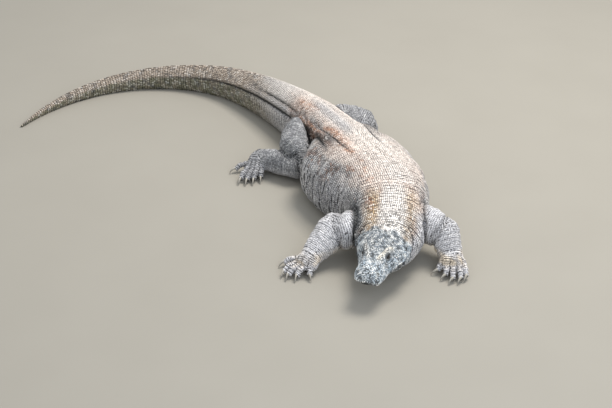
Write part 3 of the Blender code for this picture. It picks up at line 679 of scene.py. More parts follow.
# --- markings, shared by the skin and the scales ---
def markings(points):
    # each mask from 0 to 1, from the place on the body alone
    at, left, lift, across, norm = trunkPlace(points)
    back, headSide, above = headPlace(points)
    roots, bends, toes = creases(limbNorms(points), norm)
    onLimb = ramp(norm, 1.05, 1.14)
    onTrunk = 1 - onLimb
    cloud = waves(points, 0.16, 21)
    patch = waves(points, 0.075, 22)
    fine = waves(points, 0.035, 23)
    small = waves(points, 0.017, 24)
    aside = np.abs(headSide)
    side = np.abs(across)
    head = onTrunk * ramp(back + 0.006 * fine - 0.010 * aside / 0.08, 0.196, 0.178)
    body = onTrunk * (1 - head)
    tail = body * ramp(at + 0.05 * patch, 1.22, 1.55)
    trunk = body * ramp(at, 1.30, 1.12)
    neck = trunk * ramp(at, 0.44, 0.34)
    high = ramp(lift, -0.05, 0.45)
    hip, ridge, loin = hipLines(at, left, lift)
    # the back: pinkish cream on the whole, warmer by the hip; it reaches further down on the left side and
    # is paler along it, which is painted light on the side the light falls on
    warmEdge = 0.86 + 0.16 * ramp(left, -0.04, 0.04)
    uneven = side + 0.12 * patch + 0.08 * small
    warm = trunk * high * ramp(uneven, warmEdge, warmEdge - 0.36) * ramp(at, 0.26, 0.34)
    warm = warm * (0.80 + 0.20 * cloud)
    pale = trunk * high * ramp(at, 0.34, 0.44) * bump(across - 0.22, 0, 0.50 + 0.10 * cloud) * 0.62
    # a pale freckled point runs from the head back along the middle of the neck, between golden sides
    reachOfPoint = at + 0.012 * fine + 2.6 * (left - 0.018) ** 2 / 0.06
    point = neck * high * ramp(reachOfPoint, 0.300, 0.250)
    gold = neck * ramp(lift, 0.1, 0.5) * bump(np.abs(left - 0.004), 0.058, 0.028) \
        * ramp(reachOfPoint, 0.245, 0.285)
    gold = gold * ramp(at, 0.430, 0.310) * (0.82 + 0.22 * fine) * (1 - 0.30 * (left > 0))
    nape = neck * high * ramp(reachOfPoint, 0.25, 0.30) * ramp(np.abs(left - 0.012), 0.058, 0.022)
    pale = np.clip(np.maximum(pale, 0.95 * np.maximum(point, nape)), 0, 1)
    pale = np.maximum(pale, 0.55 * body * bump(at, 1.25, 0.13) * ramp(lift, 0.50, 0.75))
    # painted light: paler bands along the side of the tail's root, where it lies in shade
    ribs = np.maximum(bump(lift, 0.06, 0.13), bump(lift, 0.44, 0.05))
    pale = np.maximum(pale, 0.50 * body * bump(at, 1.31, 0.11) * ribs)
    rust = trunk * high * np.clip(ridge * 1.2 + 0.9 * bump(left, -0.050, 0.020) * bump(at, 0.72, 0.09), 0, 1)
    rust += 0.40 * trunk * high * ramp(at, 0.98, 1.06) * ramp(at, 1.20, 1.12) * ramp(left, 0.02, -0.04)
    blush = trunk * ramp(lift, 0.2, 0.6) * ramp(0.7 * patch + 0.6 * fine + 0.5 * small, 0.3, 1.2)
    rust = np.clip(rust * ramp(left, 0.03, -0.03) + blush * (0.22 + 0.50 * ramp(left, 0.02, -0.06)), 0, 1)
    # cream on the brows and lips, a paler tip of the snout, and a mosaic of cream and dark over the head
    gap = above - np.interp(back, mouthLine[:, 0], mouthLine[:, 1])
    brow = ramp(back, 0.060, 0.072) * ramp(back, 0.132, 0.122) * bump(aside, browAside(back), 0.0072)
    # the right brow's cream is weaker, as painted shade on the side away from the light
    brow = brow * ramp(above, 0.028, 0.040) * (0.45 + 0.55 * (headSide > 0))
    cream = strongest(
        np.clip(1.25 * head * brow, 0, 1),
        0.35 * head * bump(gap, 0.0045, 0.0030) * ramp(back, 0.100, 0.060),
        head * (0.34 * ramp(small, 0.40, 1.0) + 0.12 * ramp(fine, 0.3, 1.0)),
        0.15 * head * ramp(back, 0.045, 0.010),
        0.22 * body * bump(throatOf(at, lift), 0.228, 0.010) * ramp(lift, 0.5, 0.1))
    # lighter and bluer on the snout and the cheeks
    bluish = head * np.maximum(0.75 * ramp(back, 0.075, 0.030),
                               0.60 * ramp(above, 0.040, 0.020) * ramp(gap, 0.002, 0.010))
    # darker: flanks, neck sides, the chin under the lip, blotches, the skin round and before the eyes, the
    # flank wrinkles and the hollows and grooves by the hip; the blotches are the hide's own, the flanks and
    # the skin round the eyes partly so, and the rest is painted shade
    sides = trunk * (ramp(lift, 0.96, 0.74) - 0.30 * ramp(lift, 0.50, 0.25)) \
        * (0.36 + 0.24 * patch + 0.18 * fine)
    # painted shade in the hollow beside the right hip
    hollow = np.abs(left) - np.interp(at, hipGroove[:, 0], hipGroove[:, 1])
    hollow = bump(hollow, 0.001, 0.012) * ramp(at, 0.66, 0.74) * ramp(at, 1.08, 0.98) * (left < 0)
    wrinkled = trunk * ramp(at, 0.42, 0.52) * ramp(at, 1.08, 0.98) * ramp(lift, 0.80, 0.35)
    # painted shade in a hollow on the right side of the hips
    deep = trunk * blob((at, 0.757, 0.060), (left, -0.084, 0.026))
    neckSide = neck * ramp(side + 0.08 * (left < 0), 0.76, 0.92) * ramp(at, 0.21, 0.25)
    # the hollow before each eye, darkened below as painted shade
    lore = blob((back, 0.074, 0.013), (aside, 0.041, 0.012), (above, 0.020, 0.009))
    dark = strongest(
        # painted shade: the right flank, away from the light, twice as dark as the left
        sides * (1 - 0.5 * (left > 0)),
        0.80 * trunk * high * hollow,
        # painted shade in the troughs of the flank wrinkles
        0.62 * wrinkled * ramp(-flankWrinkle(points, at, lift) + 0.5 * fine, 0.35, 1.2),
        0.85 * deep,
        0.30 * trunk * high * ramp(-0.7 * patch - 0.6 * small, 0.3, 1.2) * ramp(lift, 0.97, 0.8),
        # painted shade on the neck's sides above the shoulders, much stronger on the right, away from the
        # light
        neckSide * (0.90 - 0.68 * (left > 0)),
        # painted shade along the hollows on both sides of the back over the hips
        0.55 * trunk * blob((at, 0.80, 0.11), (np.abs(left), 0.092, 0.030)),
        0.50 * tail * ramp(fine + 0.8 * small, 0.2, 1.3),
        # painted shade in the grooves over the thighs and along the loin
        trunk * np.clip(0.85 * hip + 0.75 * loin, 0, 1),
        # painted shade on the jaw under the upper lip
        0.80 * head * ramp(gap, -0.001, -0.004) * ramp(back, 0.17, 0.14),
        head * (0.42 * ramp(-small, 0.30, 0.9) + 0.26 * ramp(-fine, 0.2, 1.0)),
        0.36 * head * ramp(above, 0.038, 0.052) * ramp(back, 0.070, 0.095),
        0.75 * head * lore,
        # the skin round each eye: partly its own dark grey, partly painted shade of the socket
        *[0.85 * ramp(np.linalg.norm(points - centre, axis=1), 0.0165, 0.0125)
          for centre, _, _, _ in eyeFrames.values()])
    dark = dark * (1 - 0.9 * head * brow)
    # the legs are darker than the arms, the left one less so as painted light on the side the light falls
    # on; brown wrists and a banded tail
    leg = onLimb * ramp(at, 0.75, 0.85)
    footward = ramp(points[:, 2], 0.062, 0.040)
    dark = strongest(
        dark,
        leg * np.clip(0.74 + 0.10 * patch - 0.26 * footward - 0.18 * (left > 0), 0, 1),
        0.22 * (onLimb - leg) * ramp(patch + cloud, 0.3, 1.4),
        0.24 * (onLimb - leg) * ramp(left, 0.15, 0.20) * ramp(points[:, 2], 0.06, 0.09))
    bands = 0.80 + 0.20 * np.sin(at * tau / 0.060 + 2 * patch)
    olive = tail * ramp(lift + 0.10 * fine, 0.36, 0.20) * bands
    ochre = (onLimb - leg) * ramp(points[:, 2], 0.080, 0.055) * ramp(points[:, 2], 0.030, 0.046)
    ochre = ochre * (0.25 + 0.55 * ramp(fine + 0.5 * patch, -0.4, 0.6)) * (0.65 + 0.35 * (left > 0))
    freckle = np.clip(head * (1 - 0.92 * brow) + 0.32 * onLimb * (1 - 0.5 * ramp(points[:, 2], 0.060, 0.040))
                      + 0.60 * point + 0.36 * tail + 0.26 * trunk + 0.55 * gold + 0.35 * rust, 0, 1)
    # painted shade, nearly black: in the mouth's seam, the nostrils and ears, the tail's grooves, the fold
    # behind the jaw, the hollows and grooves by the hip, and the creases at the limbs' roots, elbows, knees
    # and between the digits
    recessShade = head * ramp(back, mouthEnd + 0.002, mouthEnd - 0.004) * bump(gap, -0.0003, 0.0019)
    recessShade += head * np.exp(-((back - nostril["back"]) ** 2 + (aside - nostril["out"]) ** 2
                           + (above - nostril["up"]) ** 2) / nostril["size"] ** 2)
    recessShade += 0.9 * onTrunk * blob((back, ear["back"], 0.0050), (above, ear["up"], 0.0075),
                                (aside, ear["out"], 0.03))
    recessShade += 0.92 * body * ramp(at, 1.10, 1.20) * ramp(at, 2.1, 1.5) * bump(lift, 0.27, 0.085)
    recessShade += 0.60 * body * ramp(at, 1.06, 1.14) * ramp(at, 1.45, 1.30) * bump(lift, 0.60, 0.07)
    recessShade += 0.55 * body * bump(throatOf(at, lift), 0.200, 0.0045) * ramp(lift, 0.9, 0.5)
    recessShade += 0.38 * deep * (0.8 + 0.4 * small) + 0.28 * trunk * high * hollow
    recessShade += (0.65 + 0.30 * (at < 0.5)) * roots + 0.45 * bends + 0.42 * toes + 0.65 * trunk * hip \
        + 0.25 * trunk * loin
    # grey over the shoulder's flap, low on the sides and in a line down the backbone
    flap = neck * ramp(left, 0.070, 0.088) * ramp(at, 0.40, 0.34)
    # painted light: most of the dark is taken off the flap over the left shoulder, which lies in shade
    dark = dark * (1 - 0.8 * flap)
    midline = trunk * bump(left, -0.004, 0.030) * ramp(at, 0.70, 0.80) * ramp(at, 1.14, 1.02)
    dark = np.maximum(dark, 0.20 * midline)
    spineBand = midline * (lift > 0.5)
    greyer = np.maximum(0.60 * trunk * ramp(lift, 0.80, 0.40) * ramp(at, 0.40, 0.50), 0.9 * spineBand)
    return {"warm": warm * (1 - 0.75 * spineBand), "gold": gold, "rust": rust * (1 - 0.6 * spineBand),
            "pale": pale * (1 - 0.55 * spineBand), "cream": cream, "dark": dark,
            "limb": np.maximum(np.maximum(onLimb, flap), greyer), "head": head, "frost": bluish,
            "tail": tail, "olive": np.clip(olive, 0, 1), "ochre": np.clip(ochre, 0, 1),
            "freckle": freckle, "recessShade": np.clip(recessShade, 0, 1)}


def mark(obj, points, tone, edge, copies=1):
    # each marking as an attribute, worked out once per point or once for all the points of a scale
    for name, values in markings(points).items():
        addAttribute(obj, name, np.repeat(values, copies))
    addAttribute(obj, "tone", tone)
    addAttribute(obj, "edge", edge)


skinPoints = pointsOf(skinPiece.data)
# the bare skin takes the full painted shade of the gaps between the beads
mark(skinPiece, skinPoints, np.full(len(skinPoints), 0.5), np.ones(len(skinPoints)))
skinTree = BVHTree.FromObject(skinPiece, bpy.context.evaluated_depsgraph_get())
print("skin marked")

# --- scales ---
# a closed bead with eight sides: a ring under the skin, its rim, a shoulder and a top, over a flat base
bead = {"sides": 8, "radius": (1.0, 0.96, 0.70), "height": (-0.40, 0.25, 0.80), "long": 0.570, "wide": 0.555}
ring = np.arange(bead["sides"])
onward = (ring + 1) % bead["sides"]
beadAngle = (ring + 0.5) * tau / bead["sides"]
beadRadius = np.concatenate([np.repeat(bead["radius"], bead["sides"]), [0.0]])
beadHeight = np.concatenate([np.repeat(bead["height"], bead["sides"]), [1.0]])
beadTurn = np.concatenate([np.tile(beadAngle, 3), [0.0]])
# from 1 at the foot to 0 at the top: the share of painted shade between the beads, with a painted highlight
# on the top
beadGapShade = np.concatenate([np.repeat((1.0, 0.75, 0.12), bead["sides"]), [0.0]])
beadSide = np.concatenate([np.tile(ring, 3), [0]])
beadShoulder = np.concatenate([np.repeat((0.0, 0.0, 1.0), bead["sides"]), [0.0]])
beadFaces = []
for level in (0, bead["sides"]):
    beadFaces.append(np.stack([ring, onward, onward + bead["sides"]], 1) + level)
    beadFaces.append(np.stack([ring, onward + bead["sides"], ring + bead["sides"]], 1) + level)
beadFaces.append(np.stack([ring, onward, ring * 0 + bead["sides"]], 1) + 2 * bead["sides"])
beadFaces[-1][:, 2] = 3 * bead["sides"]
beadFaces.append(np.stack([ring[1:-1] * 0, onward[1:-1], ring[1:-1]], 1))
beadFaces = np.concatenate(beadFaces)


def rootGroup(points, along, normal, uv, **sizes):
    # where scales grow and how they lie, with each size given for all of them or one by one
    group = {"points": points, "along": along, "normal": normal, "uv": uv}
    group["keep"] = np.ones(len(points), bool)
    group.update({key: np.full(len(points), value, float) for key, value in sizes.items()})
    return group


def scaleRoots(surface, start, end, rowGap, widthGap, tall, seed, under=0.6, keel=0.0, flat=0.0):
    # rows one gap apart along the skin; each row is filled all round with evenly spaced scales, wider on
    # the underside, and every other row is moved by half a scale
    pick = np.random.default_rng(seed)
    fineAt = np.linspace(start, end, 300)
    angle = np.linspace(-tau / 4, tau * 3 / 4, 181)
    sides = surface(fineAt[:, None], angle[None, ::12])
    along = np.linalg.norm(np.diff(sides, axis=0), axis=2).mean(1)
    run = np.concatenate([[0], np.cumsum(along)])
    at = np.interp(np.arange(rowGap / 2, run[-1], rowGap), run, fineAt)
    ringPoints = surface(at[:, None], angle[None, :])
    step = np.linalg.norm(np.diff(ringPoints, axis=1), axis=2)
    squeeze = 1 - (1 - under) * ramp(np.sin(angle[1:]), -0.35, -0.75)
    run = np.concatenate([np.zeros((len(at), 1)), np.cumsum(step * squeeze, axis=1)], axis=1)
    count = np.maximum(5, np.round(run[:, -1] / widthGap)).astype(int)
    row = np.repeat(np.arange(len(at)), count)
    index = np.arange(count.sum()) - np.repeat(np.cumsum(count) - count, count)
    wanted = index + 0.25 + 0.5 * (row % 2) + pick.uniform(-0.09, 0.09, len(row))
    wanted = wanted / count[row] * run[row, -1]
    big = run.max() + 1
    flatRun = (run + np.arange(len(at))[:, None] * big).ravel()
    theta = np.interp(wanted + row * big, flatRun, np.tile(angle, len(at)))
    gap = np.gradient(at)[row]
    sway = 0.35 * rowGap * waves(surface(at[row], theta), 0.11, 61)
    rootAt = np.clip(at[row] + pick.uniform(-0.12, 0.12, len(row)) * gap + sway, start, end)
    points = surface(rootAt, theta)
    along = surface(rootAt + 0.001, theta) - surface(rootAt - 0.001, theta)
    round_ = surface(rootAt, theta + 0.02) - surface(rootAt, theta - 0.02)
    width = run[row, -1] / count[row] / (1 - (1 - under) * ramp(np.sin(theta), -0.35, -0.75))
    uv = np.stack([(rootAt - start) / (end - start), (theta + tau / 4) / tau], 1)
    return rootGroup(points, along, np.cross(along, round_), uv, long=rowGap, wide=width, tall=tall,
                     keel=keel, flat=flat, steady=0.8)


laid = []  # the trunk's scales, which the limbs' scales meet


def treeOf(points):
    tree = KDTree(len(points))
    for index, point in enumerate(points.tolist()):
        tree.insert(point, index)
    tree.balance()
    return tree


def filled(own, bare, share, most):
    # more scales where the folds of the skin spread them: the bare point farthest from every root takes
    # one, like its nearest neighbour in size and lie, until no bare point is farther than a share of a scale
    roots = {key: np.concatenate([values] + [other[key] for other in laid]) for key, values in own.items()}
    tree = treeOf(roots["points"])
    found = [tree.find(point) for point in bare.tolist()]
    near = np.array([index for _, index, _ in found])
    distance = np.array([gap for _, _, gap in found])
    spacing = (roots["long"][near] + roots["wide"][near]) * 0.5 * share
    chosen = []
    while len(chosen) < most:
        worst = (distance - spacing).argmax()
        if distance[worst] < spacing[worst]:
            break
        chosen.append(worst)
        distance = np.minimum(distance, np.linalg.norm(bare - bare[worst], axis=1))
    more = {key: values[near[chosen]] for key, values in roots.items()}
    more["points"] = bare[chosen]
    more["along"] = more["along"] - np.array([0, 0, 0.0003])
    more["steady"] = np.full(len(chosen), 0.05)
    more["uv"] = more["uv"] + 0.003
    print("added", len(chosen), "scales in the folds")
    return {key: np.concatenate([values, more[key]]) for key, values in own.items()}


def roomOf(place, nominal):
    # how far apart the scales lie against their own size, over the middle of the piece
    tree = treeOf(place)
    near = np.array([[gap for _, _, gap in tree.find_n(point, 6)] for point in place.tolist()])
    room = near[:, 1:].mean(1) / nominal
    return np.clip(room / np.median(room), 0.90, 1.30)[:, None]


def addScales(name, groups, seed, tree=skinTree, bare=None, share=0.84, most=420):
    # one bead on the skin at each root: a little uneven all round, lying along the skin, and turned by
    # the mean of the skin's own direction and the smooth body's
    roots = {key: np.concatenate([group[key] for group in groups]) for key in groups[0]}
    roots = {key: values[roots["keep"]] for key, values in roots.items()}
    if bare is not None:
        roots["points"] = np.array([tree.find_nearest(point)[0] for point in roots["points"].tolist()])
        roots = filled(roots, bare, share, most)
    pick = np.random.default_rng(seed)
    hits = [tree.find_nearest(point) for point in roots["points"].tolist()]
    place = np.array([hit[0] for hit in hits])
    normal = np.array([hit[1] for hit in hits])
    smooth = unit(roots["normal"])
    smooth *= np.sign((smooth * normal).sum(1, keepdims=True))
    normal = unit(normal + roots["steady"][:, None] * smooth)
    along = unit(roots["along"] - normal * (roots["along"] * normal).sum(1, keepdims=True))
    across = np.cross(normal, along)
    n = len(place)
    sides = bead["sides"]
    uneven = pick.uniform(0.90, 1.06, (n, sides))[:, beadSide]
    radius = beadRadius * uneven + 0.13 * roots["flat"][:, None] * beadShoulder
    size = pick.uniform(0.93, 1.05, (n, 1)) * roomOf(place, (roots["long"] + roots["wide"]) / 2)
    long, wide, tall, keel, flat = (roots[key][:, None] for key in ("long", "wide", "tall", "keel", "flat"))
    x = radius * np.cos(beadTurn) * long * bead["long"] * size
    y = radius * np.sin(beadTurn) * wide * bead["wide"] * size
    y = y * (1 - 0.45 * keel * beadShoulder)
    z = (beadHeight + 0.12 * flat * beadShoulder) * tall
    z = z * pick.uniform(0.82, 1.18, (n, 1)) + 0.25 * keel * tall * x / long
    points = (place[:, None] + along[:, None] * x[..., None] + across[:, None] * y[..., None]
              + normal[:, None] * z[..., None])
    points[..., 2] = np.maximum(points[..., 2], 0.0001 + 0.0004 * (beadHeight > 0))
    faces = (beadFaces[None] + np.arange(n)[:, None, None] * len(beadRadius)).reshape(-1, 3)
    obj = meshFrom(name, points.reshape(-1, 3), faces)
    tone = np.clip(0.5 + 0.68 * (pick.uniform(0, 1, n) - 0.5) + 0.18 * waves(place, 0.022, 41), 0, 1)
    mark(obj, place, np.repeat(tone, len(beadRadius)), np.tile(beadGapShade, n), len(beadRadius))
    # each scale is a patch 0.003 across at its root's place on the unrolled skin
    patch = np.stack([beadRadius * np.cos(beadTurn), beadRadius * np.sin(beadTurn)], 1) * 0.0015
    corner = (roots["uv"] * 0.99 + 0.005)[:, None] + patch[None]
    layer = obj.data.uv_layers.new(name="OFBake")
    layer.data.foreach_set("uv", corner.reshape(-1, 2)[faces.ravel()].astype(np.float32).ravel())
    print(name, n, "scales", len(faces), "triangles")
    return obj


def clearOfLimbs(points, names, least=0.97):
    # true outside the sections of all the named limb parts
    clear = np.ones(len(points), bool)
    for other in names:
        clear &= tubeNorm(limbTables[other], points)[0] > least
    return clear


def lipGap(points):
    # height above the line of the mouth, and whether the mouth reaches there
    back, _, above = headPlace(points)
    return above - np.interp(back, mouthLine[:, 0], mouthLine[:, 1]), back < mouthEnd


def lipRoots(offset, width, gap):
    # one row of plates along a lip, from the middle of the snout back along both sides
    groups = []
    for side in (1, -1):
        at = -snoutCap * 0.5 + np.cumsum(np.full(400, 0.0005))
        at = at[at < mouthEnd - 0.004]
        angle = np.linspace(-0.9, 0.9, 121)
        if side == -1:
            angle = np.linspace(tau / 2 + 0.9, tau / 2 - 0.9, 121)
        points = trunkSurface(at[:, None], angle[None, :])
        rise = headPlace(points.reshape(-1, 3))[2].reshape(points.shape[:2])
        wanted = np.interp(at, mouthLine[:, 0], mouthLine[:, 1]) + offset
        nearest = np.abs(rise - wanted[:, None]).argmin(1)
        line = points[np.arange(len(at)), nearest]
        run = chord(line)
        take = np.interp(np.arange(gap * 0.5, run[-1], gap), run, np.arange(len(at))).astype(int)
        along = np.gradient(line, axis=0)[take]
        backHere = np.clip(headPlace(line[take])[0], 0.040, None)
        outward = line[take] - headPoint(backHere, backHere * 0, backHere * 0)
        outward[:, 2] = 0
        uv = np.stack([at[take] / 0.2, (angle[nearest[take]] + tau / 4) / tau % 1], 1)
        groups.append(rootGroup(line[take], along, outward, uv, long=gap, wide=width, tall=0.0007,
                                keel=0, flat=1, steady=3.0))
    return groups


def eyeRoots(radius, gap, name):
    # a ring of small scales round one eye, lying along its lids
    centre, outward, forward, above = eyeFrames[name]
    n = int(round(tau * radius / gap))
    turn = np.arange(n) * tau / n
    way = np.cos(turn)[:, None] * forward + np.sin(turn)[:, None] * above * 0.86
    points = centre + outward * 0.0055 + way * radius
    along = -np.sin(turn)[:, None] * forward + np.cos(turn)[:, None] * above
    place = headPlace(points)
    uv = np.stack([place[0] / 0.2, 0.5 + place[1] / 0.3], 1)
    return rootGroup(points, along, np.tile(outward, (n, 1)), uv, long=gap, wide=gap * 0.95, tall=0.0007,
                     keel=0, flat=0.4, steady=0.2)


def openHide(points, fromLips, fromLimbs=0.97):
    # true on the trunk's own hide, clear of limbs, eyes and the edge of the mouth
    keep = clearOfLimbs(points, limbTables, fromLimbs)
    for centre, _, _, _ in eyeFrames.values():
        keep &= np.linalg.norm(points - centre, axis=1) > 0.0150
    gap, inMouth = lipGap(points)
    return keep & ~(inMouth & (np.abs(gap) < fromLips))


def trunkRoots(start, end, rowGap, widthGap, tall, seed, under=0.6, keel=0.0, flat=0.0):
    # scales over the trunk, kept where its hide is open
    group = scaleRoots(trunkSurface, start, end, rowGap, widthGap, tall, seed, under, keel, flat)
    group["keep"] = openHide(group["points"], 0.0072)
    return group


def limbRoots(name, rowGap, widthGap, tall, seed, others, under=0.75, keel=0.0, flat=0.0):
    # scales over one limb part, kept outside the trunk and the limb's other parts
    table = limbTables[name]
    end = table["at"][-1]
    group = scaleRoots(tubeSurface(table), 0, end, rowGap, widthGap, tall, seed, under, keel, flat)
    outside = trunkPlace(group["points"])[4] > 0.985
    group["keep"] = outside & clearOfLimbs(group["points"], others)
    return group


coat = [  # name, start, end, row gap, scale gap, height, keel, flatness: along the trunk line
    ("scales_snout", -0.0045, 0.085, 0.0048, 0.0050, 0.0010, 0.0, 0.7),
    ("scales_head", 0.085, 0.192, 0.0047, 0.0047, 0.0011, 0.0, 0.5),
    ("scales_neck", 0.192, 0.400, 0.0072, 0.0064, 0.0018, 0.0, 0.0),
    ("scales_shoulder", 0.400, 0.640, 0.0077, 0.0070, 0.0017, 0.0, 0.1),
    ("scales_belly", 0.640, 0.880, 0.0077, 0.0070, 0.0016, 0.0, 0.1),
    ("scales_hip", 0.880, 1.150, 0.0076, 0.0064, 0.0017, 0.2, 0.1),
    ("scales_tail_base", 1.150, 1.560, 0.0085, 0.0064, 0.0017, 0.7, 0.0),
    ("scales_tail_end", 1.560, 2.545, 0.0098, 0.0065, 0.0015, 1.0, 0.0),
]
coatPieces = []
skinAt = trunkPlace(skinPoints)[0]
skinOpen = openHide(skinPoints, 0.0082, 1.06) & (skinPoints[:, 2] > 0.01)
for k, (name, start, end, rowGap, widthGap, tall, keel, flat) in enumerate(coat):
    groups = [trunkRoots(start, end, rowGap, widthGap, tall, 100 + k, 0.6, keel, flat)]
    if name == "scales_snout":
        groups += lipRoots(0.0044, 0.0058, 0.0066) + lipRoots(-0.0044, 0.0056, 0.0066)
    bare = skinPoints[skinOpen & (skinAt >= start) & (skinAt < end)]
    coatPieces.append(addScales(name, groups, 200 + k, skinTree, bare if end < 0.5 else None))
    laid.append({key: np.concatenate([group[key] for group in groups]) for key in groups[0]})
    laid[-1] = {key: values[laid[-1]["keep"]] for key, values in laid[-1].items()}

limbScales = [(0.0062, 0.0056, 0.0014, 0.0),  # row gap, scale gap, height, flatness: upper and lower limb
              (0.0058, 0.0052, 0.0012, 0.2),  # palm or sole
              (0.0050, 0.0062, 0.0008, 0.7)]  # digits
limbCoats = {"scales_arm_right": ("upperArmRight", "forearmRight", "hand_right"),
             "scales_arm_left": ("upperArmLeft", "forearmLeft", "hand_left"),
             "scales_leg_right": ("thighRight", "shankRight", "foot_right"),
             "scales_leg_left": ("thighLeft", "shankLeft", "foot_left")}
for k, (name, chain) in enumerate(limbCoats.items()):
    digits = [f"{chain[2]}_{i}" for i in range(1, 6)]
    parts = [*chain, *digits]
    groups = []
    for j, part in enumerate(parts):
        rowGap, widthGap, tall, flat = limbScales[(j > 1) + (j > 2)]
        others = [other for other in parts if other != part]
        group = limbRoots(part, rowGap, widthGap, tall, 300 + 10 * k + j, others, 0.75, 0.0, flat)
        group["long"] *= 1.10
        group["wide"] *= 1.08
        # each part of the limb unrolls into its own strip
        group["uv"] = np.stack([group["uv"][:, 0], (j + group["uv"][:, 1] * 0.94) / 8], 1)
        groups.append(group)
    # the heel, the joints and the line where the limb meets the body
    reached = np.min([tubeNorm(limbTables[part], skinPoints)[0] for part in parts], axis=0)
    bare = skinPoints[(reached < 1.6) & (skinPoints[:, 2] > 0.010)]
    coatPieces.append(addScales(name, groups, 400 + k, skinTree, bare, 0.74, 500))
print("scales done")


# --- eyes and lids ---
def onSphere(centre, frameOfEye, radius, tilt, turn):
    # centre plus radius times: cosine of tilt outward, sine of tilt round the rim
    _, outward, forward, above = frameOfEye
    rim = np.cos(turn)[..., None] * forward + np.sin(turn)[..., None] * above
    return centre + radius[..., None] * (np.cos(tilt)[..., None] * outward + np.sin(tilt)[..., None] * rim)


lids = {"long": 60, "upper": 18, "lower": 24, "thick": 0.0013, "reach": 0.0155}
eyePieces = []
lidPieces = []
for name, frameOfEye in eyeFrames.items():
    centre, outward = frameOfEye[:2]
    tilt, turn = np.meshgrid(np.linspace(0.02, math.pi - 0.02, 40), np.arange(48) * tau / 48,
                             indexing="ij")
    radius = eye["radius"] * (1 + 0.03 * np.exp(-(tilt / 0.5) ** 2))
    ball = meshFrom("eyeball_" + name, *gridShell(onSphere(centre, frameOfEye, radius, tilt, turn)))
    addAttribute(ball, "fromPupil", np.concatenate([tilt.ravel(), [0.0, math.pi]]))
    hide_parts("eye_" + name)
    eyePieces.append(ball)
    # the lids run from a rounded rim on the ball over soft folds, and end a little under the skin
    v, turn = np.meshgrid(np.linspace(0, 1, 34), np.arange(90) * tau / 90, indexing="ij")
    half = np.where(np.sin(turn) > 0, math.radians(lids["upper"]), math.radians(lids["lower"]))
    opening = 1 / np.sqrt((np.cos(turn) / math.radians(lids["long"])) ** 2 + (np.sin(turn) / half) ** 2)
    tilt = opening + v * (1.25 - opening)
    rise = 0.0003 + lids["thick"] * ramp(v, 0, 0.12) * (1 + 0.5 * np.clip(np.sin(turn), 0, 1))
    rise += 0.00045 * np.sin(v * 30) * ramp(v, 0.12, 0.25)
    shell = onSphere(centre, frameOfEye, eye["radius"] + rise, tilt, turn)
    widen = eye["radius"] + 0.002 + (lids["reach"] - eye["radius"]) * v
    spread = onSphere(centre, frameOfEye, widen, tilt, turn)
    hits = [skinTree.find_nearest(point) for point in spread.reshape(-1, 3).tolist()]
    onSkin = np.array([hit[0] for hit in hits]).reshape(spread.shape)
    skinWay = np.array([hit[1] for hit in hits]).reshape(spread.shape)
    onSkin = onSkin + skinWay * (0.0013 - 0.0025 * ramp(v, 0.7, 1.0))[..., None]
    blend = ramp(v, 0.30, 0.85)[..., None]
    shell = shell * (1 - blend) + onSkin * blend
    tuck = onSphere(centre, frameOfEye, np.full(v.shape, eye["radius"] * 0.9), tilt * 0.6 + 0.3, turn)
    rings = np.concatenate([shell, tuck[::-1][:-1:4], tuck[:1]])
    count, sides = rings.shape[:2]
    points, faces = gridShell(np.concatenate([rings, rings[:1]]), False, False)
    faces = np.where(faces >= count * sides, faces - count * sides, faces)
    points = points[:count * sides]
    lid = meshFrom("eyelids_" + name, points, faces)
    # the lids take a middling share of the painted shade between the beads
    mark(lid, points, np.full(count * sides, 0.45), np.full(count * sides, 0.45))
    # painted shade, near black: along the lids' edge at the eye and over the part that tucks into the socket
    rim = np.zeros((count, sides))
    rim[:34] = 0.85 * ramp(v, 0.42, 0.10)
    rim[34:] = 0.9
    lid.data.attributes["recessShade"].data.foreach_set("value", rim.ravel().astype(np.float32))
    lidPieces.append(lid)
    lidTree = BVHTree.FromObject(lid, bpy.context.evaluated_depsgraph_get())
    rows = [eyeRoots(radius, 0.0024, name) for radius in (0.0089, 0.0112, 0.0135)]
    coatPieces.append(addScales("scales_lids_" + name, rows, 500, lidTree))

# --- claws ---
clawPieces = []
for pawName in paws:
    parts = []
    for index in range(1, 6):
        tip, out = digitTips[pawName, index]
        whole = math.radians(claw["bend"])
        t, angle = np.meshgrid(np.linspace(-0.08, 1, 20), np.arange(16) * tau / 16, indexing="ij")
        # runs round an arc from level to pointing down, thick at the root, with a blunt point
        along = claw["length"] * np.sin(whole * t) / whole
        down = claw["length"] * (1 - np.cos(whole * t)) / whole
        radius = claw["radius"] * np.clip(1 - t, 0.03, 1) ** 0.72 * (1 + 0.07 * bump(t, 0.05, 0.06))
        across = np.cross(out, (0, 0, 1))
        over = np.cos(whole * t)[..., None] * np.array([0, 0, 1.0]) + np.sin(whole * t)[..., None] * out
        rings = (tip + out * along[..., None] - np.array([0, 0, 1.0]) * down[..., None]
                 + across * (radius * 0.72 * np.cos(angle))[..., None]
                 + over * (radius * np.where(np.sin(angle) > 0, 1.0, 0.82) * np.sin(angle))[..., None])
        rings[..., 2] = np.maximum(rings[..., 2], 0.0003)
        parts.append(gridShell(rings))
    piece = meshFrom("claws_" + pawName, *joined(parts))
    share = np.concatenate([np.repeat(np.linspace(0, 1, 20), 16), [0, 1]])
    addAttribute(piece, "along", np.tile(share, 5))
    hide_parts(*[f"claw_{pawName}_{i}" for i in range(1, 6)])
    clawPieces.append(piece)
print("eyes, lids and claws done")


# --- materials ---
def addNode(tree, kind, settings=None, values=None, links=None):
    # a node with its settings, its sockets' values and what feeds them
    node = tree.nodes.new(kind)
    for key, value in (settings or {}).items():
        setattr(node, key, value)
    for key, value in (values or {}).items():
        node.inputs[key].default_value = value
    for key, source in (links or {}).items():
        tree.links.new(source, node.inputs[key])
    return node


